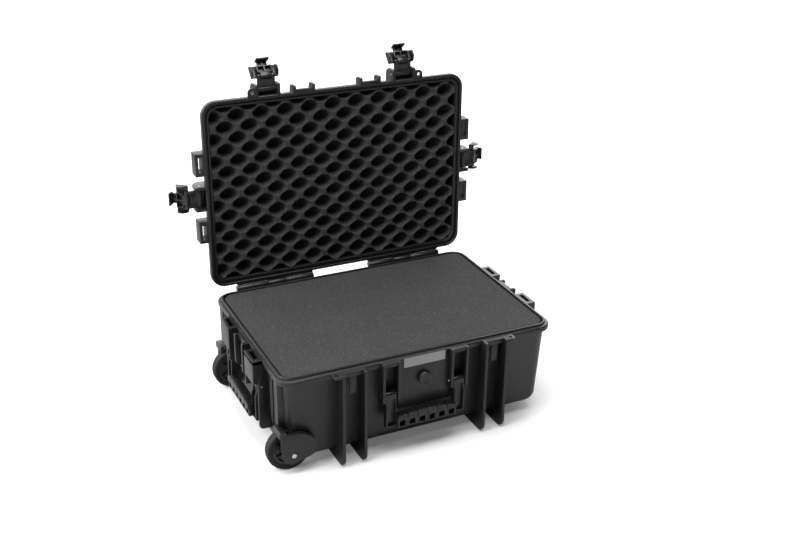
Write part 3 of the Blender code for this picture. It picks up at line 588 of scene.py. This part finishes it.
def box_slots(z):
    """Tools for the slots through the tops of the end boxes or lugs."""
    return [block(span(end, HALF_X + 3.5, HALF_X + 12), span(side, 56, 88), z, soft=0)
            for end in (1, -1) for side in (1, -1)]


def base_hinge():
    """Hinge knuckles of the base with their webs."""
    parts = []
    for side in (1, -1):
        for near, far in ((65.0, 126.5), (167.5, 236.0)):
            parts.append(rod("x", (HINGE_Y, MATE_Z), KNUCKLE_RADIUS, *span(side, near, far), 40, 0.5))
            parts.append(block(span(side, near, far), (HALF_Y - 4, HINGE_Y), (MATE_Z - 6.8, MATE_Z - 0.8)))
    return parts


def bottom_rises(clear):
    """Where the inside rises over the trolley channel and the two wheel wells, and clear of them."""
    hump = block((-124 - clear, 320), (-108 - clear, 108 + clear), (0, 50 + clear), soft=2)
    wells = [block((-320, -209 + clear), span(side, 147 - clear, 240), (0, 98 + clear), soft=2)
             for side in (1, -1)]
    return hump, *wells


def lower_shell():
    """Lower shell: outer form, everything that stands on it, and then the cavity and the openings."""
    body = shell([(44, 18), (36, 18.7), (30, 20.3), (25.4, 23.2), (21.4, 27.2), (18.4, 32.4), (16.5, 39),
                  (8.7, 188), (8.0, 189.3), (6.5, 189.8), (1.3, 189.8), (0.4, 190.2), (0, 191), (0, 198.2),
                  (0.3, 199.5), (1.1, 200.4), (2.4, 200.7), (5.9, 200.7), (6.4, 201.1), (6.7, 204.3),
                  (7.3, 205), (9.4, 205), (9.9, 204.5), (11, 203)])
    ears, holes = padlock_ears((MATE_Z - 5.5, MATE_Z - 0.5))
    add(body, *front_ribs(), *front_keepers(), *end_keepers(), *front_panel(), *end_boxes(),
        *wheel_mounts(), *ears, *base_hinge())
    cavity = shell([(10.2, 207), (10.2, 200), (12.5, 189), (20.5, 39), (22.5, 32), (26, 27.5), (31, 24.3),
                    (38, 22.4), (46, 22)])
    cut(cavity, *bottom_rises(0))
    well_tools = [block((-330, -215), span(side, 151.5, 178.3), (-5, 93.5), soft=1.5) for side in (1, -1)]
    channel = block((-120, 340), (-104, 104), (-5, 46), soft=1)
    pins = [rod("x", (HINGE_Y, MATE_Z), PIN_BORE, -241, 241),
            rod("y", VALVE_AT, 7.1, -HALF_Y - 10, -HALF_Y + 25)]
    for side in (1, -1):
        pins += [rod("x", (-HALF_Y - HANDLE_OUT, FRONT_PIVOT_Z), PIN_BORE, *span(side, 56, 95)),
                 rod("y", (-HALF_X - HANDLE_OUT, SIDE_PIVOT_Z), PIN_BORE, *span(side, 44, 103)),
                 rod("y", (WHEEL_AT.x, WHEEL_AT.z), AXLE_BORE, *span(side, 140, 160)),
                 rod("y", (WHEEL_AT.x, WHEEL_AT.z), 9.6, *span(side, 170, 200))]
    cut(body, cavity, *well_tools, channel, *holes, *box_slots((MATE_Z - 20, MATE_Z + 5)), *pins)
    placed(body, "lower_shell", CASE, SHELL_PLASTIC, "black_plastic", "base", "base_shell")


# ---- lid ---------------------------------------------------------------------------------------------

def latch_places():
    """Name, turn about Z, and middle of each latch's wall."""
    return (("front_left", 0.0, -LATCH_X), ("front_right", 0.0, LATCH_X),
            ("end_left", -math.pi / 2, 0.0), ("end_right", math.pi / 2, 0.0))


def latch_cheeks():
    """Pairs of cheeks that hold the latch arms, joined by a web behind the arm."""
    parts = []
    for _, turn, shift in latch_places():
        out = -HALF_Y if turn == 0 else -HALF_X
        cheek = [(out - 22, MATE_Z + 0.3, 3), (out - 22, MATE_Z + 39, 18), (out + 26, MATE_Z + 39, 0),
                 (out + 26, MATE_Z + 0.3, 0)]
        trio = [plate(cheek, "x", near, near + 6, soft=0.9, steps=9) for near in (-RIB_FAR - 1, RIB_NEAR + 1)]
        trio.append(block((-RIB_NEAR - 3, RIB_NEAR + 3), (out - 13, out + 24), (MATE_Z + 23, MATE_Z + 37)))
        matrix = Matrix.Translation((shift, 0, 0)) @ Matrix.Rotation(turn, 4, "Z")
        parts += [settled(part, matrix) for part in trio]
    return parts


def lid_fittings():
    """Slotted lugs, brackets, hinge leaves and knuckles on the lid."""
    parts = []
    for end in (1, -1):
        for side in (1, -1):
            parts.append(block(span(end, HALF_X - 26, HALF_X + LUG_OUT), span(side, 48, 95),
                               (MATE_Z + 0.3, MATE_Z + 28), soft=1.1))
    for side in (1, -1):
        for near in (49.5, 90.5):
            parts.append(plate([(-HALF_Y - 13, MATE_Z + 0.3, 2), (-HALF_Y - 13, MATE_Z + 26, 10),
                                (-HALF_Y + 24, MATE_Z + 26, 0), (-HALF_Y + 24, MATE_Z + 0.3, 0)],
                               "x", *span(side, near, near + 5.5)))
        parts.append(block(span(side, 53.5, 91.5), (-HALF_Y - 5, -HALF_Y + 2), (MATE_Z + 0.3, MATE_Z + 9)))
        parts.append(plate([(side * 65, HALF_Y - 5, 0), (side * 65, HALF_Y + 3.2, 0),
                            (side * 233, HALF_Y + 3.2, 0), (side * 240, HALF_Y - 5, 0)],
                           "z", MATE_Z + 0.3, MATE_Z + 12))
        parts.append(rod("x", (HINGE_Y, MATE_Z), KNUCKLE_RADIUS, *span(side, 127, 167), 40, 0.5))
        parts.append(block(span(side, 127, 167), (HALF_Y - 3, HINGE_Y), (MATE_Z + 0.8, MATE_Z + 6.3)))
    return parts


def lid_ribs():
    """Low stiffening ribs across the lid's top, in line with the front ribs."""
    return [block((side * LATCH_X + across, side * LATCH_X + across + 6), (-HALF_Y + 34, HALF_Y - 34),
                  (LID_TOP - 6, LID_TOP + 1.2), soft=1.0)
            for side in (1, -1) for across in (-RIB_FAR, RIB_NEAR)]


def lid_shell():
    """Lid: outer form, fittings, seal groove and cavity."""
    top = LID_TOP
    body = shell([(46, top), (38, top - 0.4), (31, top - 1.7), (25.5, top - 4), (21, top - 7.6),
                  (17.6, top - 12.4), (15, top - 18.5), (9.1, MATE_Z + 14), (8.4, MATE_Z + 12.7),
                  (7, MATE_Z + 12.4), (1.3, MATE_Z + 12.4), (0.4, MATE_Z + 12), (0, MATE_Z + 11.2),
                  (0, MATE_Z + 2.5), (0.3, MATE_Z + 1.2), (1.1, MATE_Z + 0.3), (2.4, MATE_Z), (11, MATE_Z)])
    ears, holes = padlock_ears((MATE_Z + 0.3, MATE_Z + 5.3))
    add(body, *latch_cheeks(), *lid_fittings(), *lid_ribs(), *ears)
    recess = shell([(5.5, MATE_Z - 2), (5.5, MATE_Z), (5.9, MATE_Z + 0.5), (5.9, MATE_Z + 3.4)])
    groove = shell([(5.9, MATE_Z + 3.2), (5.9, MATE_Z + 8.6), (10.6, MATE_Z + 8.6), (10.6, MATE_Z + 3.9),
                    (11.1, MATE_Z + 3.2)], ring=True)
    cavity = shell([(14.1, MATE_Z + 2), (14.1, MATE_Z + 3.4), (14.6, MATE_Z + 4.2), (15.2, MATE_Z + 13),
                    (19.5, top - 19), (21.8, top - 13), (26, top - 8.6), (33, top - 5.2), (48, top - WALL)])
    pins = [rod("x", (HINGE_Y, MATE_Z), PIN_BORE, -241, 241)]
    for _, turn, shift in latch_places():
        if turn == 0:
            pins.append(rod("x", (-HALF_Y - 11, MATE_Z + 12), PIN_BORE, shift - 27, shift + 27))
        else:
            pins.append(rod("y", (math.copysign(HALF_X + 11, turn), MATE_Z + 12), PIN_BORE, -27, 27))
    cut(body, recess, groove, cavity, *holes, *box_slots((MATE_Z - 5, MATE_Z + 35)), *pins)
    placed(body, "lid_shell_moulding", LID, SHELL_PLASTIC, "black_plastic", "lid", "lid_shell")


def lid_seal():
    """Rubber seal in the lid's groove, its face rounded."""
    seal = shell([(6.3, MATE_Z + 8.4), (6.3, MATE_Z + 5.6), (6.9, MATE_Z + 4.8), (7.9, MATE_Z + 4.4),
                  (8.6, MATE_Z + 4.4), (9.6, MATE_Z + 4.8), (10.2, MATE_Z + 5.6), (10.2, MATE_Z + 8.4)],
                 ring=True)
    placed(seal, "seal_ring", LID, SEAL_RUBBER, "seal_rubber", "lid", "lid_seal", angle=70)


# ---- foam --------------------------------------------------------------------------------------------

DIMPLE_PITCH = np.array((51.5, 46.5))
DIMPLE_AT = np.array((-240.0, -139.0))
DIMPLE_HALF = np.array((15.8, 12.3))
DIMPLE_DEPTH = 34.0


def egg_crate():
    """Convoluted foam in the lid: a fine grid pressed into staggered rows of round dimples."""
    bpy.ops.mesh.primitive_grid_add(x_subdivisions=252, y_subdivisions=172, size=2)
    face = bpy.context.active_object
    face.scale = (HALF_X - 13, HALF_Y - 13, 1)
    bpy.ops.object.transform_apply(location=True, rotation=True, scale=True)
    points = np.zeros(len(face.data.vertices) * 3)
    face.data.vertices.foreach_get("co", points)
    points = points.reshape(-1, 3)
    reach = np.full(len(points), 9.0)
    for shift in (0.0, 0.5):
        aside = (points[:, :2] - DIMPLE_AT) / DIMPLE_PITCH + shift
        aside = (aside - np.round(aside)) * DIMPLE_PITCH / DIMPLE_HALF
        reach = np.minimum(reach, np.hypot(aside[:, 0], aside[:, 1]))
    wall = np.clip((reach - 0.55) / 0.78, 0, 1)
    press = 1 - wall * wall * (3 - 2 * wall)
    points[:, 2] = MATE_Z + 4.2 + DIMPLE_DEPTH * press
    face.data.vertices.foreach_set("co", points.ravel())
    bpy.ops.object.mode_set(mode="EDIT")
    bpy.ops.mesh.select_all(action="SELECT")
    bpy.ops.mesh.extrude_region_move(TRANSFORM_OT_translate={"value": (0, 0, 70)})
    bpy.ops.mesh.select_all(action="SELECT")
    bpy.ops.mesh.normals_make_consistent(inside=False)
    bpy.ops.object.mode_set(mode="OBJECT")
    inner = shell([(15.6, MATE_Z + 1), (16.2, MATE_Z + 12), (20.3, LID_TOP - 20), (27, LID_TOP - 10.5),
                   (36, LID_TOP - 5.8)])
    combine(face, [inner], "INTERSECT")
    placed(face, "egg_crate_pad", LID, LID_FOAM, "dark_foam", "lid", "lid_foam", angle=60)


def base_foam():
    """Flat top block of foam in the base, its cut edge a little soft and uneven."""
    pad = shell([(15.9, 152.4), (13.7, MATE_Z - 12), (12.9, MATE_Z - 2), (13.1, MATE_Z + 0.6),
                 (13.7, MATE_Z + 1.9), (14.8, MATE_Z + 2.5), (17, MATE_Z + 2.7)])
    placed(pad, "base_foam_block", CASE, BASE_FOAM, "grey_foam", "base", "foam_top", angle=50)


def lower_foam():
    """Middle and bottom foam layers under the block that shows."""
    middle = shell([(20.3, 104.4), (18.6, 105), (16.7, 150.8), (17.6, 152)])
    placed(middle, "middle_foam_block", CASE, BASE_FOAM, "grey_foam", "base", "foam_middle", angle=50)
    bottom = shell([(48, 22.6), (35, 24.6), (27, 30.6), (22, 40), (18.2, 104)])
    cut(bottom, *bottom_rises(0.6))
    placed(bottom, "bottom_foam_block", CASE, BASE_FOAM, "grey_foam", "base", "foam_bottom", angle=50)


# ---- plate and valve ---------------------------------------------------------------------------------

def label_plate():
    """Blank plate with a raised border."""
    front = -HALF_Y - 2.2
    made = block((-43.5, 43.5), (front, front + 0.9), (180.5, MATE_Z - 1.5), soft=0)
    only(made)
    bpy.ops.object.mode_set(mode="EDIT")
    select_faces(made, lambda normal: normal.y < -0.9)
    bpy.ops.mesh.inset(thickness=1.3, depth=0)
    bpy.ops.mesh.inset(thickness=0.3, depth=-0.3)
    bpy.ops.object.mode_set(mode="OBJECT")
    soften(made, 0.15)
    placed(made, "blank_label_plate", CASE, PLATE_GREY, "plate_grey", "base", "name_plate")


def valve():
    """Pressure valve: knurled knob with a dished face."""
    front = -HALF_Y - 1
    x, z = VALVE_AT
    knob = turned("y", [(10.2, front - 0.4), (13.4, front - 0.4), (14, front - 1), (14, front - 8),
                        (13.2, front - 9.3), (11.8, front - 9.7), (10.4, front - 9.2), (9.6, front - 8.8),
                        (0.6, front - 8.6), (0.6, front - 5), (10.2, front - 5)], 72, VALVE_AT)
    notches = []
    for k in range(24):
        turn = 2 * math.pi * k / 24
        notches.append(rod("y", (x + 14.6 * math.cos(turn), z + 14.6 * math.sin(turn)), 1.1,
                           front - 0.2, front - 8, 8))
    cut(knob, *notches)
    add(knob, rod("y", VALVE_AT, 1.0, front - 4.8, front - 8.7, 16, 0.2))
    placed(knob, "valve_cap", CASE, FITTING_PLASTIC, "latch_plastic", "valve_knob", "valve_knob")


# ---- latches -----------------------------------------------------------------------------------------

def latch_arm():
    """Latch arm, its pin at the origin, pointing at -Y: a hollow frame of two rails and a web."""
    body = block((-18, 18), (-21, 1), (-4, 4), soft=0.8)
    add(body, rod("x", (0, 0), 5.5, -18, 18, 40, 0.5))
    for side in (1, -1):
        add(body, rod("x", (-26, 0), 4.8, *span(side, 11, 18), 36, 0.5),
            block(span(side, 11, 18), (-26, -18), (-4, 4)))
    cut(body, block((-13.5, 13.5), (-18, -4), (-6, -2.2), soft=0.5),
        block((-10, 10), (-19, -7), (2.6, 6), soft=0.6), rod("x", (0, 0), PIN_BORE, -30, 30),
        rod("x", (-26, 0), 1.9, -30, 30))
    return body


def latch_lever():
    """Latch lever, its pin at the origin, pointing at -Y: knuckle, pocketed body, wings, neck and T-bar."""
    top = 10.5
    body = plate([(4.4, -4.4, 4.2), (4.4, 4.4, 4.2), (-9, 6, 0), (-9, -3.5, 0)], "x", -10.6, 10.6, soft=0.4)
    add(body, block((-16, 16), (-22, -6.2), (-4, 8), soft=0.8),
        block((-28.4, 28.4), (-26, -0.5), (6.9, top), soft=0.9),
        block((-10, 10), (-36.5, -20), (2, top - 1), soft=0.9),
        block((-13.5, 13.5), (-36.2, -32.7), (-9, 7.2), soft=0.9))
    for side in (1, -1):
        add(body, plate([(-1, top - 0.4, 0), (-1, 2, 2), (-8, -6, 3), (-19, -6, 3), (-25.5, 4, 3),
                         (-25.5, top - 0.4, 0)], "x", *span(side, 25.5, 28.2), soft=0.6))
        cut(body, block(span(side, 1.4, 13.6), (-19.5, -9), (-6, 5.5), soft=0.6),
            block(span(side, 2, 8.4), (-31.5, -23.5), (-6, 6), soft=0.4),
            block(span(side, 17.6, 24), (-23, -4), (4, 8.6), soft=0.4))
    cut(body, *[block((-20, 20), (y - 0.6, y + 0.6), (top - 0.5, top + 2), soft=0)
                for y in (-6, -9, -12, -15)])
    return cut(body, rod("x", (0, 0), 1.9, -30, 30))


def latches():
    """Four latches, each with its arm, lever and two pins."""
    arm, lever = latch_arm(), latch_lever()
    pin = rod("x", (0, 0), PIN_RADIUS, -26.2, 26.2, 24, 0.4)
    small_pin = rod("x", (0, 0), 1.5, -16.8, 16.8, 20, 0.3)
    for name, turn, _ in latch_places():
        turned_open = Matrix.Rotation(-LID_OPEN, 4, "X") @ Matrix.Rotation(turn, 4, "Z")
        tilted = turned_open @ Matrix.Rotation(LEVER_TILT, 4, "X")
        for model, role, body, facing, material, slot, node in (
                (arm, "arm", "latch_arm", turned_open, FITTING_PLASTIC, "latch_plastic", "latch_arm"),
                (pin, "arm_pin", "latch_arm", turned_open, STEEL, "steel", "latch_pin"),
                (lever, "lever", "latch_lever", tilted, FITTING_PLASTIC, "latch_plastic", "latch_lever"),
                (small_pin, "lever_pin_bar", "latch_lever", tilted, STEEL, "steel", "lever_pin")):
            place = Vector(JOINTS[f"{body}_{name}_hinge"]["pos_m"])
            matrix = Matrix.Translation(place) @ facing @ Matrix.Scale(MM, 4)
            placed(copied(model), f"latch_{role}_at_{name}", matrix, material, slot, f"{body}_{name}",
                   f"{node}_{name}")
    for model in (arm, lever, pin, small_pin):
        bpy.data.objects.remove(model)


# ---- handles -----------------------------------------------------------------------------------------

HANDLE_FOOT = 62.0
GRIP_PITCH = 21.0
GRIP_ARCH = 333.8


def carry_handle(pivot_z):
    """Carry handle, its pivot along X at the origin, hanging down: channelled arms and a padded grip."""
    low = HANDLE_FOOT - pivot_z
    pitch = GRIP_PITCH
    body = block((-63, 63), (-17.2, -3), (low, low + 22), soft=1.6)
    arch = rod("y", (0, low + 31 - GRIP_ARCH), GRIP_ARCH, -30, 10, 256)
    pads = block((-62, 62), (-19, -1.5), (low + 16, low + 34), soft=0)
    combine(pads, [arch], "INTERSECT")
    cut(pads, *[block(((k - 3) * pitch - 0.8, (k - 3) * pitch + 0.8), (-25, 5), (low + 10, low + 40), soft=0)
                for k in range(7)])
    soften(pads, 2.4, 3)
    add(body, pads)
    cut(body, *[block(((k - 2.5) * pitch - 6, (k - 2.5) * pitch + 6), (-25, 5), (low + 3, low + 15.5),
                      soft=0.8) for k in range(6)])
    side_view = [(-10.5, low, 4), (-10.5, -27, 4), (-7, -18, 4), (-7, 7, 6), (6.5, 7, 6), (6.5, -14, 5),
                 (0, low, 4)]
    for side in (1, -1):
        arm = plate(side_view, "x", *span(side, 61, 84), soft=0.9)
        cut(arm, plate([(side * 64, low + 3.5, 4), (side * 81, low + 3.5, 4), (side * 81, -7.5, 1.5),
                        (side * 64, -7.5, 1.5)], "y", -16, -3.2, soft=0))
        add(body, arm)
    return cut(body, rod("x", (0, 0), PIN_BORE, -100, 100))


def handles():
    """Front handle and wheel-end handle with their pins."""
    for name, turn, pivot_z, near, far in (("front_handle", 0.0, FRONT_PIVOT_Z, 52.0, 90.4),
                                           ("side_handle", -math.pi / 2, SIDE_PIVOT_Z, 47.2, 98.0)):
        place = Vector(JOINTS[f"{name}_hinge"]["pos_m"])
        matrix = Matrix.Translation(place) @ Matrix.Rotation(turn, 4, "Z") @ Matrix.Scale(MM, 4)
        placed(carry_handle(pivot_z), f"{name}_moulding", matrix, FITTING_PLASTIC, "latch_plastic", name,
               name)
        for label, side in (("right", 1), ("left", -1)):
            pin = rod("x", (0, 0), PIN_RADIUS, *span(side, near, far), 24, 0.5)
            placed(pin, f"{name}_pivot_{label}", matrix, STEEL, "steel", name, f"{name}_pin_{label}")


def hinge_pins():
    """Steel pins through the hinge knuckles."""
    for label, side in (("right", 1), ("left", -1)):
        pin = rod("x", (HINGE_Y, MATE_Z), PIN_RADIUS, *span(side, 66, 235.4), 24, 0.4)
        placed(pin, f"lid_hinge_pin_{label}", CASE, STEEL, "steel", "base", f"hinge_pin_{label}")


# ---- wheels ------------------------------------------------------------------------------------------

def wheel_set(label, side):
    """Tyre, spoked hub, bush, axle and the housing that covers the wheel."""
    centre = Vector(JOINTS[f"wheel_{label}_spin"]["pos_m"])
    matrix = Matrix.Translation(centre) @ Matrix.Scale(MM, 4)
    tyre = turned("y", [(33.3, -9), (36, -9.4), (39.5, -10), (41.6, -9.4), (43.2, -8), (44, -5.6), (44, -1),
                        (43.4, -0.6), (43.4, 0.6), (44, 1), (44, 5.6), (43.2, 8), (41.6, 9.4), (39.5, 10),
                        (36, 9.4), (33.3, 9)], 96)
    placed(tyre, f"tyre_{label}", matrix, TYRE_RUBBER, "tyre_rubber", f"wheel_{label}", f"wheel_tyre_{label}")
    hub = turned("y", [(6, -10), (11.5, -10), (12, -9.5), (12.6, -4), (27, -4), (28, -8.6), (29, -9),
                       (33, -9), (33, 9), (29, 9), (28, 8.6), (27, 4), (12.6, 4), (12, 9.5), (11.5, 10),
                       (6, 10)], 80)
    for k in range(6):
        spoke = block((-1.6, 1.6), (-8.4, 8.4), (11, 29), soft=0.5)
        add(hub, settled(spoke, Matrix.Rotation(k * math.pi / 3, 4, "Y")))
    placed(hub, f"hub_{label}", matrix, FITTING_PLASTIC, "latch_plastic", f"wheel_{label}",
           f"wheel_hub_{label}")
    bush = turned("y", [(4.3, -10), (5.5, -10), (5.7, -9.8), (5.7, 9.8), (5.5, 10), (4.3, 10)], 32)
    placed(bush, f"bush_{label}", matrix, STEEL, "steel", f"wheel_{label}", f"wheel_bush_{label}")

    outer = HALF_Y - 1.5
    wall = HALF_Y - 12.5
    place = (WHEEL_AT.x, WHEEL_AT.z)
    cover = plate([(-214, 40, 20), (-222, 74, 30), (-250, 90, 34), (-288, 88, 14), (-289, 60, 8),
                   (-286, 34, 14), (-270, 24, 14)], "y", *span(side, wall, outer), soft=1.3, steps=9)
    bridge = plate([(-292, 84, 2), (-292, 97, 3), (-278, 97, 3), (-278, 80, 0), (-287, 78, 0)], "y",
                   *span(side, 161, outer - 1.5), soft=1.1)
    cut(cover, rod("y", place, 30, *span(side, wall - 1, outer - 5), 64))
    add(cover, rod("y", place, 9, *span(side, 175.6, outer - 2), 40), bridge)
    cut(cover, rod("y", place, AXLE_BORE, *span(side, 175, outer + 5)))
    placed(cover, f"wheel_cover_{label}", CASE, SHELL_PLASTIC, "black_plastic", "base",
           f"wheel_housing_{label}")
    axle = rod("y", place, 4.0, *span(side, 146.5, outer + 0.5), 32, 0.4)
    add(axle, rod("y", place, 4.6, *span(side, outer + 0.3, outer + 2.3), 40, 0.9))
    cut(axle, rod("y", place, 2.2, *span(side, outer + 1.7, outer + 4), 24))
    placed(axle, f"axle_{label}", CASE, STEEL, "steel", "base", f"wheel_axle_{label}")


# ---- trolley handle ----------------------------------------------------------------------------------

def trolley_grip():
    """Grip of the pull-out handle with its hand gap, tube sockets and button well."""
    face, middle = 274.0, 33.5
    body = plate([(face, 96, 6), (face + 30, 96, 12), (face + 30, -96, 12), (face, -96, 6), (face, -66, 0),
                  (face + 14, -58, 6), (face + 14, 58, 6), (face, 66, 0)],
                 "z", middle - 9, middle + 9, soft=2.4)
    for side in (1, -1):
        cut(body, block((260, 284), span(side, 71.8, 88.2), (middle - 4.7, middle + 4.7), soft=0))
    cut(body, block((face + 22, face + 40), (-18.4, 18.4), (middle - 5.4, middle + 5.4), soft=0))
    cut(body, *[block((face + 28.8, face + 34), (y - 0.9, y + 0.9), (middle - 20, middle + 20), soft=0)
                for y in (-80, -74, -68, -62, 62, 68, 74, 80)])
    placed(body, "pull_grip", CASE, SHELL_PLASTIC, "black_plastic", "trolley_inner", "trolley_grip")
    button = block((face + 26.6, face + 32), (-18, 18), (middle - 5, middle + 5), soft=1.2)
    cut(button, *[block((face + 31.5, face + 36), (y - 0.7, y + 0.7), (middle - 3.4, middle + 3.4), soft=0)
                  for y in (-9, -6, -3, 0, 3, 6, 9)])
    placed(button, "grip_button", CASE, FITTING_PLASTIC, "latch_plastic", "trolley_button", "trolley_button")


def kept_nodes():
    """Finishes for the CAD nodes whose shape is right."""
    finishes = {"trolley_tray": SHELL_PLASTIC, "trolley_bezel": SHELL_PLASTIC,
                "valve_body": FITTING_PLASTIC}
    for kind in ("outer", "middle", "inner"):
        for label in ("front", "rear"):
            finishes[f"trolley_{kind}_tube_{label}"] = TUBE_METAL
    for name, material in finishes.items():
        node = frame["nodes"][name]
        node.data.materials.clear()
        node.data.materials.append(material)


# ---- studio ------------------------------------------------------------------------------------------

def soft_light(name, place, aim, size, power):
    """Square soft light aimed at a point."""
    data = bpy.data.lights.new(name, "AREA")
    data.size = size
    data.energy = power
    light = bpy.data.objects.new(name, data)
    light.location = place
    light.rotation_mode = "QUATERNION"
    light.rotation_quaternion = (Vector(aim) - Vector(place)).to_track_quat("-Z", "Y")
    bpy.context.scene.collection.objects.link(light)


def studio():
    """Pale floor with a painted glow that camera rays see, weaker near the case, soft lights and a world that
    is bright behind the case and dim in front of it.
    """
    bpy.ops.object.select_all(action="DESELECT")
    bpy.ops.mesh.primitive_plane_add(size=60, location=(0, 0, 0))
    floor = bpy.context.active_object
    floor.name = "studio_floor"
    pale = Finish("floor_painted_glow", (0.9, 0.9, 0.9), 0.9, specular=0.1)
    # Painted light: camera rays see the floor glow, weak near the case and full further out, which paints the
    # floor darker around the case; other rays see a plain grey floor.
    reach = pale.node("ShaderNodeVectorMath", 1, {"operation": "LENGTH"}, _0=pale.space)
    pale.set("Emission Color", pale.ramp(reach * 0.4, ((0.2, 0.12), (0.62, 1.0))))
    pale.set("Emission Strength", 0.9)
    bounce = pale.node("ShaderNodeBsdfDiffuse", 0, Color=(0.55, 0.55, 0.55, 1.0))
    seen = pale.node("ShaderNodeLightPath", "Is Camera Ray")
    painted_glow_shader = Shade(pale.tree, pale.shader.outputs[0])
    mixed = pale.node("ShaderNodeMixShader", 0, _0=seen, _1=bounce, _2=painted_glow_shader)
    pale.tree.links.new(mixed.socket, pale.tree.nodes["Material Output"].inputs[0])
    floor.data.materials.append(pale.material)
    soft_light("overhead", (0.0, -0.35, 2.35), (0.0, 0.0, 0.2), 1.5, 46)
    soft_light("left_above", (-1.7, -0.7, 2.2), (0.0, 0.1, 0.4), 0.7, 24)
    soft_light("left", (-2.3, 0.3, 1.1), (0.0, 0.0, 0.2), 1.6, 44)
    soft_light("right_behind", (1.9, 1.5, 1.3), (0.0, 0.0, 0.3), 1.2, 12)
    world = bpy.data.worlds.new("studio_world")
    world.use_nodes = True
    bpy.context.scene.world = world
    tree = world.node_tree
    place = Shade(tree, tree.nodes.new("ShaderNodeTexCoord").outputs["Generated"])
    parts = tree.nodes.new("ShaderNodeSeparateXYZ")
    tree.links.new(place.socket, parts.inputs[0])
    behind = (Shade(tree, parts.outputs["Y"]) - 0.1).math("MAXIMUM", 0.0) * 2.6
    glow = behind + (Shade(tree, parts.outputs["X"]) * -0.3 + 0.12).math("MAXIMUM", 0.04)
    tree.links.new(glow.socket, tree.nodes["Background"].inputs["Strength"])
    tree.nodes["Background"].inputs["Color"].default_value = (1.0, 1.0, 1.0, 1.0)


CAMERA_OFFSET = Vector((-0.8695, -1.8720, 1.2596))
CAMERA_TURN = (-25.954, 24.979, 0.974)
LENS = 51.45


def camera():
    """Camera to the left in front of the case and above it."""
    around, above, roll = (math.radians(value) for value in CAMERA_TURN)
    back = Vector((math.sin(around) * math.cos(above), -math.cos(around) * math.cos(above), math.sin(above)))
    right = Vector((math.cos(around), math.sin(around), 0))
    up = back.cross(right)
    level_right = right * math.cos(roll) + up * math.sin(roll)
    level_up = up * math.cos(roll) - right * math.sin(roll)
    data = bpy.data.cameras.new("camera")
    data.lens = LENS
    data.sensor_width = 36.0
    made = bpy.data.objects.new("camera", data)
    bpy.context.scene.collection.objects.link(made)
    turn = Matrix((level_right, level_up, back)).transposed()
    made.matrix_world = Matrix.Translation(MIDDLE + CAMERA_OFFSET) @ turn.to_4x4()
    bpy.context.scene.camera = made
    bpy.context.scene.view_settings.view_transform = "Standard"


camera()
lower_shell()
lid_shell()
lid_seal()
egg_crate()
base_foam()
lower_foam()
label_plate()
valve()
latches()
handles()
hinge_pins()
wheel_set("front", -1)
wheel_set("rear", 1)
trolley_grip()
kept_nodes()
studio()
